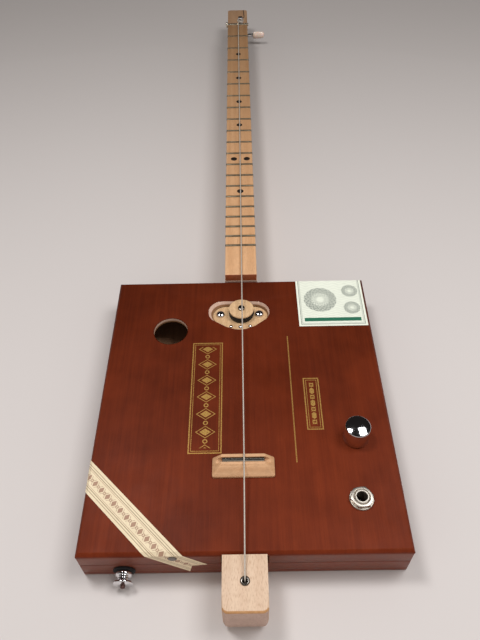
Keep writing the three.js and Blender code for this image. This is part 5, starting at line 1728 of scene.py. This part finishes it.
@dataclass
class Pickup:
    """The wooden pickup under the lid's opening: plate, coil, cap, pole screw, pan screws and rivets."""

    finishes: Finishes
    middle: Pair = (0.0, 78.0)
    plate: tuple[float, float, float, float] = (-23.4, 21.2, 55.5, 86.5)
    plate_z: Pair = (23.4, 25.8)
    plate_corner: float = 6.0
    coil_radius: float = 9.75
    coil_top: float = 30.7
    cap_radius: float = 9.6
    cap_top: float = 32.4
    pole_top: float = 34.0
    screws: tuple[Pair, Pair] = PICKUP_SCREWS
    screw_bore: float = 1.7
    screw_radius: float = 3.35
    screw_height: float = 2.2
    screw_length: float = 11.0
    rivets: tuple[Pair, Pair, Pair] = ((-8.2, 65.1), (-1.0, 64.6), (6.6, 65.2))

    def wooden_plate(self) -> Thing:
        """Make the plate with its screw holes."""
        plate = draw_out("pickup_base", rounded_box(*self.plate, self.plate_corner), Line.UP, *self.plate_z)
        soften(plate, 0.4, 3)
        for x, y in self.screws:
            bore(plate, (x, y, self.plate_z[0] - 2), self.screw_bore, 0, 6, steps=24)
        return smooth(plate)

    def coil(self) -> Thing:
        """Make the taped coil, a little barrelled, with the tape's edges round it."""
        low = self.plate_z[1]
        height = self.coil_top + 0.3 - low
        radius = self.coil_radius
        profile = [(1.8, 0), (radius - 0.5, 0), (radius - 0.35, 0.3), (radius - 0.05, 0.9), (radius, 1.8),
                   (radius - 0.12, 1.85), (radius - 0.08, 2.9), (radius, 2.95), (radius - 0.05, height - 0.9),
                   (radius - 0.35, height - 0.2), (radius - 0.5, height), (1.8, height), (1.8, 0)]
        coil = turn("taped_coil", profile, (*self.middle, low), steps=64)
        return smooth(coil, 45)

    def cap(self) -> Thing:
        """Make the wooden cap with a rounded rim."""
        radius, height = self.cap_radius, self.cap_top - self.coil_top - 0.3
        rim = arc((radius - 0.4, height - 0.4), 0.4, 0, 90, 3)
        cap = turn("birch_cap", [(1.8, 0), (radius - 0.2, 0), (radius, 0.2), *rim, (1.8, height), (1.8, 0)],
                   (*self.middle, self.cap_top - height), steps=64)
        return smooth(cap, 40)

    def pole(self) -> Thing:
        """Make the slotted pole screw in the middle."""
        foot = self.plate_z[1] + 0.3
        height = self.pole_top - foot
        profile = [(0, 0), (1.5, 0), (1.5, height - 1.6), (2.5, height - 1.6), (2.65, height - 1.4),
                   (2.65, height - 0.9), (2.35, height - 0.4), (1.6, height - 0.1), (0, height)]
        pole = turn("pole_screw", profile, (*self.middle, foot), steps=40)
        x, y = self.middle
        combine(pole, block("slot", (x - 4, y - 0.35, self.pole_top - 0.8),
                            (x + 4, y + 0.35, self.pole_top + 2)))
        return smooth(pole)

    def pan_screw(self, name: str, x: float, y: float, lean: float) -> Thing:
        """Make a pan-head screw with a crossed recess.

        Args:
            name: Its name.
            x: Its place across.
            y: Its place along.
            lean: How far its cross is turned, in degrees.

        Returns:
            The screw.
        """
        radius, height, length = self.screw_radius, self.screw_height, self.screw_length
        shares = [(0.93, 0.62), (0.74, 0.88), (0.45, 1.0), (0.0, 1.0)]
        profile = [(0, 0), (1.4, 1.2), (1.4, length), (radius - 0.15, length), (radius, length + 0.15),
                   (radius, length + 0.5), *((radius * out, length + height * up) for out, up in shares)]
        screw = turn(name, profile, (x, y, self.plate_z[1] - length), steps=48)
        top = self.plate_z[1] + height
        for angle in (lean, lean + 90):
            arm = block("cross", (-1.75, -0.33, top - 1.1), (1.75, 0.33, top + 2))
            arm.rotation_euler = (0, 0, math.radians(angle))
            arm.location = (x * MM, y * MM, 0)
            settle(arm)
            combine(screw, arm)
        return smooth(screw)

    def rivet_heads(self) -> Thing:
        """Make the three small rivets on the plate."""
        profile = [(0, 0), (1.55, 0), (1.55, 0.6), (1.35, 1.05), (0.75, 1.45), (0, 1.6)]
        first = turn("rivets", profile, (*self.rivets[0], self.plate_z[1] - 0.4), steps=24)
        return smooth(repeated(first, self.rivets))

    def build(self) -> None:
        """Build the pickup's pieces."""
        finishes = self.finishes
        hand_over(self.wooden_plate(), "pale_maple", "pickup_plate", finish=finishes.plate)
        hand_over(self.coil(), "black_tape", "pickup_coil", finish=finishes.tape)
        hand_over(self.cap(), "pale_maple", "pickup_cap", finish=finishes.plate)
        hand_over(self.pole(), "polished_chrome", "pickup_pole", finish=finishes.dark_steel)
        for (x, y), side, lean in zip(self.screws, ("left", "right"), (24.0, 61.0)):
            hand_over(self.pan_screw(f"pan_screw_{side}", x, y, lean), "polished_chrome", f"pickup_screw_{side}",
                      finish=finishes.chrome)
        hand_over(self.rivet_heads(), "polished_chrome", finish=finishes.chrome)


@dataclass
class Controls:
    """The volume knob, the output jack, and the control's parts under the lid."""

    finishes: Finishes
    lid_top: float = LID_TOP
    under: float = LID_UNDER
    knob: Pair = (73.5, -35.6)
    knob_foot: float = 30.5
    knob_radius: float = 8.6
    knob_top_radius: float = 8.1
    knob_rim: float = 43.75
    knob_dome: float = 1.41
    knob_ring: float = 0.6
    knob_sink: float = 0.08
    jack: Pair = (71.3, -78.4)
    jack_bore: float = 3.2
    jack_radius: float = 4.75
    jack_pitch: float = 0.6
    jack_top: float = 34.0
    jack_foot: float = 21.6
    frame_half: float = 8.0
    frame_bore: float = 4.5
    washer_radius: float = 7.5
    washer: float = 0.8
    flats: float = 12.7
    nut_lean: float = 8.0
    nut: float = 2.3

    def knob_piece(self) -> Thing:
        """Make the hollow chrome knob with its domed top and soft rim."""
        rim, radius, top = self.knob_rim - self.knob_foot, self.knob_radius, self.knob_top_radius
        ring = self.knob_ring
        crown = [((top - ring - self.knob_sink) * share, rim - self.knob_sink + self.knob_dome * (1 - share ** 2))
                 for share in (1.0, 0.97, 0.92, 0.85, 0.75, 0.62, 0.5, 0.36, 0.22, 0.1, 0.0)]
        profile = [(0, 11.9), (3.3, 11.9), (3.3, 7.0), (7.4, 7.0), (7.4, 0.0), (radius - 0.2, 0.0),
                   (radius, 0.2), (radius - 0.02, 1.2), (top, rim - ring), (top - 0.06, rim - ring + 0.1),
                   (top - ring + 0.04, rim - 0.04), (top - ring - 0.1, rim), *crown]
        knob = turn("knob", profile, (*self.knob, self.knob_foot), steps=96)
        return smooth(knob, 40)

    def jack_barrel(self) -> Thing:
        """Make the jack: threaded barrel, frame and contact spring."""
        x, y = self.jack
        length = self.jack_top - self.jack_foot
        inner, radius, pitch = self.jack_bore, self.jack_radius, self.jack_pitch
        crests = []
        height = self.lid_top - self.jack_foot
        while height < length - 0.5:
            crests += [(radius - 0.28, height), (radius, height + pitch / 2)]
            height += pitch
        profile = [(inner, 0), (radius - 0.28, 0), *crests, (radius - 0.3, length - 0.3),
                   (radius - 0.6, length), (inner + 0.3, length), (inner, length - 0.3), (inner, 0)]
        barrel = turn("jack_barrel", profile, (x, y, self.jack_foot), steps=48)
        half, top = self.frame_half, self.under
        outline = rounded_box(x - half, x + half, y - half, y + half, 2.0)
        plate = draw_out("jack_frame", outline, Line.UP, top - 1.5, top)
        bore(plate, (x, y, top - 5), self.frame_bore, 0, 9, steps=40)
        strip = [(half, 0.8), (half - 1.2, 1.5), (half - 1.2, 14.6), (half - 2.4, 15.8), (3.0, 15.8),
                 (1.2, 14.8), (0.0, 15.8), (0.0, 17.0), (half - 1.4, 17.0), (half, 15.6)]
        outline = [(x + out, top - down) for out, down in strip]
        combine(plate, draw_out("jack_spring", outline, Line.TAILWARD, y - 2.5, y + 2.5), Join.TOGETHER)
        soften(plate, 0.15, 2)
        gather(barrel, plate)
        return smooth(barrel)

    def jack_nut(self) -> Thing:
        """Make the washer and the hexagon nut with its turned-off corners."""
        x, y = self.jack
        foot = self.lid_top
        radius, thick = self.washer_radius, self.washer + 0.3
        profile = [(4.9, 0), (radius, 0), (radius, thick - 0.25), (radius - 0.25, thick), (4.9, thick),
                   (4.9, 0)]
        washer = turn("jack_washer", profile, (x, y, foot), steps=64)
        corner = self.flats / math.sqrt(3)
        outline = arc((x, y), corner, self.nut_lean, self.nut_lean + 300, 5)
        nut = draw_out("hex_nut", outline, Line.UP, foot + thick, foot + thick + self.nut)
        flat = self.flats / 2
        profile = [(0, -1), (corner + 1, -1), (corner + 1, self.nut - 0.9), (flat - 0.1, self.nut),
                   (0, self.nut)]
        combine(nut, turn("cone_tool", profile, (x, y, foot + thick), steps=64), Join.COMMON)
        soften(nut, 0.12, 2)
        profile = [(0, -1), (4.85, -1), (4.85, self.nut - 0.4), (5.3, self.nut + 0.1), (5.3, 5), (0, 5)]
        combine(nut, turn("bore_tool", profile, (x, y, foot + thick), steps=48))
        gather(washer, nut)
        return smooth(washer, 30)

    def build(self) -> None:
        """Build the controls, and dress the hidden parts of the volume control where they are."""
        finishes = self.finishes
        hand_over(self.knob_piece(), "polished_chrome", "volume_knob", finish=finishes.chrome,
                  body=Body.VOLUME)
        hand_over(self.jack_barrel(), "plated_steel", "jack_body", finish=finishes.jack)
        hand_over(self.jack_nut(), "polished_chrome", "jack_nut", finish=finishes.jack)
        for node in ("pot_body", "pot_shaft"):
            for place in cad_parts[node].material_slots:
                place.material = finishes.nickel
            log.info("%s: packed solid, dressed in nickel", node)


@dataclass
class StrapButton:
    """The strap button on the tail wall, with its felt washer."""

    finishes: Finishes
    x: float = -72.5
    wall_y: float = -HALF_LENGTH
    z: float = 7.3
    felt_radius: float = 6.8
    felt: float = 1.4
    length: float = 7.1
    tip: float = 2.2

    def button(self) -> Thing:
        """Make the button: foot, waist, flange and the screw's end."""
        foot = self.felt + 0.2
        rim = foot + self.length
        profile = [(0, -7), (1.3, -6), (1.7, -5), (1.7, foot), (4.3, foot), (4.9, foot + 0.15),
                   (5.15, foot + 0.5), (5.2, foot + 1.1), (5.15, foot + 1.7), (4.95, foot + 2.2),
                   (4.5, foot + 2.65), (3.95, foot + 3.0), (3.6, foot + 3.3), (3.5, foot + 3.6),
                   (3.6, foot + 3.9), (4.1, rim - 2.45), (4.75, rim - 1.8), (5.3, rim - 1.45),
                   (5.7, rim - 1.2), (5.9, rim - 0.9), (5.95, rim - 0.5), (5.88, rim - 0.2),
                   (5.7, rim - 0.03), (5.4, rim), (1.6, rim), (1.35, rim + 0.15),
                   (1.35, rim + self.tip - 0.4), (1.15, rim + self.tip - 0.1), (0, rim + self.tip)]
        button = turn("strap_peg", profile, (self.x, self.wall_y, self.z), Line.TAILWARD, 56)
        give_materials(button, self.finishes.chrome, self.finishes.tip)
        paint(button, 1, lambda middle, normal: middle.y < self.wall_y - rim - 0.05)
        return smooth(button, 45)

    def washer(self) -> Thing:
        """Make the felt washer with its soft, slightly uneven rim."""
        radius, thick = self.felt_radius, self.felt
        profile = [(2.0, 0), (radius - 0.5, 0), (radius - 0.15, 0.25), (radius, 0.7), (radius, thick - 0.7),
                   (radius - 0.2, thick - 0.25), (radius - 0.6, thick), (2.0, thick), (2.0, 0)]
        washer = turn("felt_washer", profile, (self.x, self.wall_y, self.z), Line.TAILWARD, 96)
        fuzz = bpy.data.textures.new("fuzz", "CLOUDS")
        fuzz.noise_scale = 0.9 * MM
        modify(washer, "DISPLACE", texture=fuzz, strength=0.14 * MM, mid_level=0.8)
        return smooth(washer, 60)

    def build(self) -> None:
        """Build the strap button's pieces."""
        hand_over(self.button(), "polished_chrome", "strap_button")
        hand_over(self.washer(), "black_felt", "strap_washer", finish=self.finishes.felt)


@dataclass
class Papers:
    """The paper band round the corner, the paper seal over the far edge, and the brad through the band."""

    finishes: Finishes
    half_width: float = HALF_WIDTH
    half_length: float = HALF_LENGTH
    top: float = LID_TOP
    bevel: float = BEVEL
    lift: float = 0.08
    band_middle: float = -158.0
    band_width: float = 15.5
    band_from: float = -78.0
    band_to: float = 102.5
    notch: float = 5.0
    seal_x: Pair = (43.9, 96.0)
    seal_y: Pair = (60.6, 128.0)
    brad: Pair = (-42.0, 24.6)

    def unfolded(self, name: str, corners: list[Vector], cells: int) -> Thing:
        """Cut a sheet flat, fine enough to fold, and clear its UV maps.

        Args:
            name: Its name.
            corners: Its corners in mm.
            cells: How many times its edges are cut.

        Returns:
            The flat sheet, just above the lid.
        """
        sheet = trace(name, [Vector((x, y, self.top + self.lift)) for x, y, *_ in corners], closed=True)
        cuts = []
        for axis in (0, 1):
            low, high = min(corner[axis] for corner in corners), max(corner[axis] for corner in corners)
            cuts += [(axis, low + (high - low) * step / cells) for step in range(1, cells)]
        for axis, half, side in ((0, self.half_width, -1), (1, self.half_length, -1), (1, self.half_length, 1)):
            cuts += [(axis, side * (half - self.bevel + past)) for past in (0.0, self.bevel * math.sqrt(2))]
        for axis, place in cuts:
            normal = Vector((1 - axis, axis, 0))
            work_on(sheet)
            bpy.ops.mesh.bisect(plane_co=normal * place * MM, plane_no=normal)
        put_down()
        while sheet.data.uv_layers:
            sheet.data.uv_layers.remove(sheet.data.uv_layers[0])
        return sheet

    def chart(self, sheet: Thing, unfold: Callable[[Vector], Pair]) -> None:
        """Keep each corner's place on the flat sheet as its UV map.

        Args:
            sheet: The flat sheet.
            unfold: Gives the place on the sheet's own axes of a place in mm.
        """
        layer = sheet.data.uv_layers.new(name="flat")
        for loop in sheet.data.loops:
            first, second = unfold(sheet.data.vertices[loop.vertex_index].co / MM)
            layer.data[loop.index].uv = (first / CHART, second / CHART)

    def fold(self, sheet: Thing) -> None:
        """Fold a flat sheet down over the lid's bevel and the wall, on each side that it passes."""
        slant = self.bevel * math.sqrt(2)
        root = math.sqrt(0.5)
        for point in sheet.data.vertices:
            place = point.co / MM
            lift = place.z - self.top
            for axis, half in ((0, self.half_width), (1, self.half_length)):
                side = 1 if place[axis] > 0 else -1
                past = abs(place[axis]) - (half - self.bevel)
                if past <= 1e-4:
                    continue
                if past > slant:
                    flat, place.z = half + lift, self.top - self.bevel - (past - slant)
                elif past > slant - 1e-3:
                    flat, place.z = half + lift, self.top - self.bevel + lift * math.tan(math.radians(22.5))
                else:
                    flat, place.z = half - self.bevel + (past + lift) * root, self.top - (past - lift) * root
                place[axis] = side * flat
            point.co = place * MM

    def band(self) -> Thing:
        """Make the band: a strip with pennant ends, folded over the corner and lightly wrinkled."""
        root = math.sqrt(0.5)
        half = self.band_width / 2
        start, end = self.band_from * root, self.band_to * root
        along, across = Vector((root, -root, 0)), Vector((root, root, 0))
        middle = across * (self.band_middle * root)
        ends = [(start, -half), (end, -half), (end - self.notch, 0), (end, half), (start, half),
                (start + self.notch, 0)]
        band = self.unfolded("paper_band", [middle + along * s + across * t for s, t in ends], 24)

        def unfold(place: Vector) -> Pair:
            """Give how far a place is along the band and across it."""
            return (place - middle).dot(along), (place - middle).dot(across)

        self.chart(band, unfold)
        for point in band.data.vertices:
            place = point.co / MM
            s, t = unfold(place)
            ripple = 0.09 * math.sin(s * 0.55 + 1.3 * math.sin(t * 0.4)) + 0.05 * math.sin(s * 1.3 + t * 0.8)
            inside = min(self.half_width - abs(place.x), self.half_length - abs(place.y)) - self.bevel
            point.co.z += (0.1 + ripple * (1 - (t / half) ** 2)) * min(1.0, max(0.0, inside / 6)) * MM
        return self.fitted(band, self.finishes.band)

    def seal(self) -> Thing:
        """Make the seal, folded over the far edge and down the wall."""
        (left, right), (low, high) = self.seal_x, self.seal_y
        corners = [Vector((x, y, 0)) for x, y in ((left, low), (right, low), (right, high), (left, high))]
        seal = self.unfolded("paper_seal", corners, 16)
        self.chart(seal, lambda place: (place.x, place.y))
        return self.fitted(seal, self.finishes.seal)

    def fitted(self, sheet: Thing, finish: bpy.types.Material) -> Thing:
        """Fold a sheet, give it its thickness downwards and print it."""
        self.fold(sheet)
        modify(sheet, "SOLIDIFY", thickness=self.lift * MM, offset=-1.0)
        give_materials(sheet, finish)
        return smooth(sheet, 30)

    def brad_head(self) -> Thing:
        """Make the brad's low domed head, on the band's end at the near wall."""
        x, z = self.brad
        profile = [(0, -6), (0.8, -5), (0.8, 0.1), (2.5, 0.1), (2.7, 0.3), (2.5, 0.6), (1.5, 0.95), (0, 1.1)]
        head = turn("brad", profile, (x, -self.half_length, z), Line.TAILWARD, 32)
        return smooth(head, 60)

    def build(self) -> None:
        """Build the papers and the brad."""
        hand_over(self.band(), "")
        hand_over(self.seal(), "")
        hand_over(self.brad_head(), "", finish=self.finishes.dark_steel)


# Floor, lights and camera

@dataclass(frozen=True)
class FloorCloth(Finish):
    """The floor's warm grey, faintly uneven, with a painted shade that darkens it far off where the light falls
    off.
    """

    name: str = "floor"
    # Painted shade: the far colour stands for the light falling off away from the lamps.
    near: Colour = tint(219, 212, 209)
    far: Colour = tint(169, 163, 160)
    falls: Pair = (-0.3, 0.8)

    def draw(self, sheet: Sheet) -> None:
        """Draw the grey over the floor's length, darker far off as painted shade."""
        place = sheet.give("TexCoord", {}, "Object")
        wide = sheet.noise(place, 1.2, 2.0)
        _, headward, _ = sheet.parts(place)
        off = headward + sheet.spread(wide, 0.3, 0.7, -0.03, 0.03)
        sheet.shade(sheet.mix(sheet.spread(off, *self.falls, soft=True), self.near, self.far),
                    sheet.spread(wide, 0.3, 0.7, 0.75, 0.85))


@dataclass
class Studio:
    """The plain floor, the two soft lights overhead, the dim room and the camera."""

    floor_size: float = 9.0
    floor_bend: float = 1500.0
    lamps: tuple[tuple[str, Point, Pair, float], ...] = (
        ("right_light", (0.53, 0.1, 1.15), (0.55, 0.52), 6.9),
        ("left_light", (-0.38, 0.2, 1.15), (0.26, 0.3), 5.8))
    room_far: Colour = tint(34, 31, 30)
    room_near: Colour = tint(205, 198, 194)
    fill_far: Colour = tint(142, 139, 137)
    fill_near: Colour = tint(253, 249, 246)
    backdrop: Colour = tint(196, 190, 187)
    camera_place: Point = (2.257, -241.35, 380.3)
    lens: float = 34.31
    down: float = 48.537
    yaw: float = 0.633
    roll: float = -1.481

    def floor(self) -> None:
        """Lay the floor: a wide sheet, lifted in a curve far behind."""
        put_down()
        bpy.ops.mesh.primitive_plane_add(size=self.floor_size, location=(0, 1.0, -0.0002))
        floor = bpy.context.active_object
        floor.name = "floor"
        choose(floor, Kind.EDGES, lambda ends: all(end.y > 5000 for end in ends))
        pull(0, 0, 2 * self.floor_bend)
        put_down()
        settle(floor)
        round_edges(floor, self.floor_bend, lambda ends: all(end.y > 5000 and abs(end.z) < 1 for end in ends),
                    steps=12)
        give_materials(smooth(floor, 60), FloorCloth().make())

    def lamp(self, name: str, place: Point, size: Pair, power: float) -> None:
        """Hang a soft light that shines on the origin.

        Args:
            name: Its name.
            place: Where it hangs, in metres.
            size: Its width and length.
            power: Its power in watts.
        """
        bpy.ops.object.light_add(type="AREA", location=place)
        lamp = bpy.context.active_object
        lamp.name = name
        lamp.data.shape = "RECTANGLE"
        lamp.data.size, lamp.data.size_y = size
        lamp.data.energy = power
        lamp.rotation_euler = (-Vector(place)).to_track_quat("-Z", "Y").to_euler()

    def lights(self) -> None:
        """Hang the lights, in a room that fills the shadows and is dark in metal but for its near side."""
        for lamp in self.lamps:
            self.lamp(*lamp)
        world = bpy.data.worlds.new("room")
        world.use_nodes = True
        sheet = Sheet(world.node_tree)
        _, headward, up = sheet.parts(sheet.give("TexCoord", {}, "Generated"))
        share = sheet.spread(headward, 0.3, -0.8, soft=True) * sheet.spread(up, 0.8, 0.35, soft=True)
        seen_by = sheet.outputs(sheet.add("LightPath", {}))
        room = sheet.mix(seen_by["Is Diffuse Ray"], sheet.mix(share, self.room_far, self.room_near),
                         sheet.mix(share, self.fill_far, self.fill_near))
        sheet.feed(world.node_tree.nodes["Background"].inputs["Color"],
                   sheet.mix(seen_by["Is Camera Ray"], room, self.backdrop))
        bpy.context.scene.world = world

    def camera(self) -> None:
        """Set the camera where the photograph was taken from."""
        down, yaw, roll = (math.radians(angle) for angle in (self.down, self.yaw, self.roll))
        right = Vector((math.cos(yaw), math.sin(yaw), 0))
        ahead = Vector((-math.sin(yaw), math.cos(yaw), 0))
        up = ahead * math.sin(down) + Vector((0, 0, 1)) * math.cos(down)
        forward = ahead * math.cos(down) - Vector((0, 0, 1)) * math.sin(down)
        leaned_right = right * math.cos(roll) + up * math.sin(roll)
        leaned_up = up * math.cos(roll) - right * math.sin(roll)
        bpy.ops.object.camera_add()
        camera = bpy.context.active_object
        facing = Matrix((leaned_right, leaned_up, -forward)).transposed()
        camera.matrix_world = Matrix.Translation(Vector(self.camera_place) * MM) @ facing.to_4x4()
        camera.data.lens = self.lens
        camera.data.sensor_width = 36.0
        camera.data.sensor_fit = "AUTO"
        camera.data.clip_start = 0.01
        bpy.context.scene.camera = camera

    def build(self) -> None:
        """Set up the studio."""
        self.floor()
        self.lights()
        self.camera()
        bpy.context.scene.view_settings.view_transform = "Standard"


def main() -> None:
    """Build the guitar and its studio."""
    logging.basicConfig(level=logging.INFO, format="%(name)s: %(message)s")
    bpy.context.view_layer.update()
    finishes = Finishes()
    Studio().build()
    for part in (Box, Neck, Bridge, StringSet, Tuner, Pickup, Controls, StrapButton, Papers):
        part(finishes).build()
    put_down()


if __name__ == "__main__":
    main()
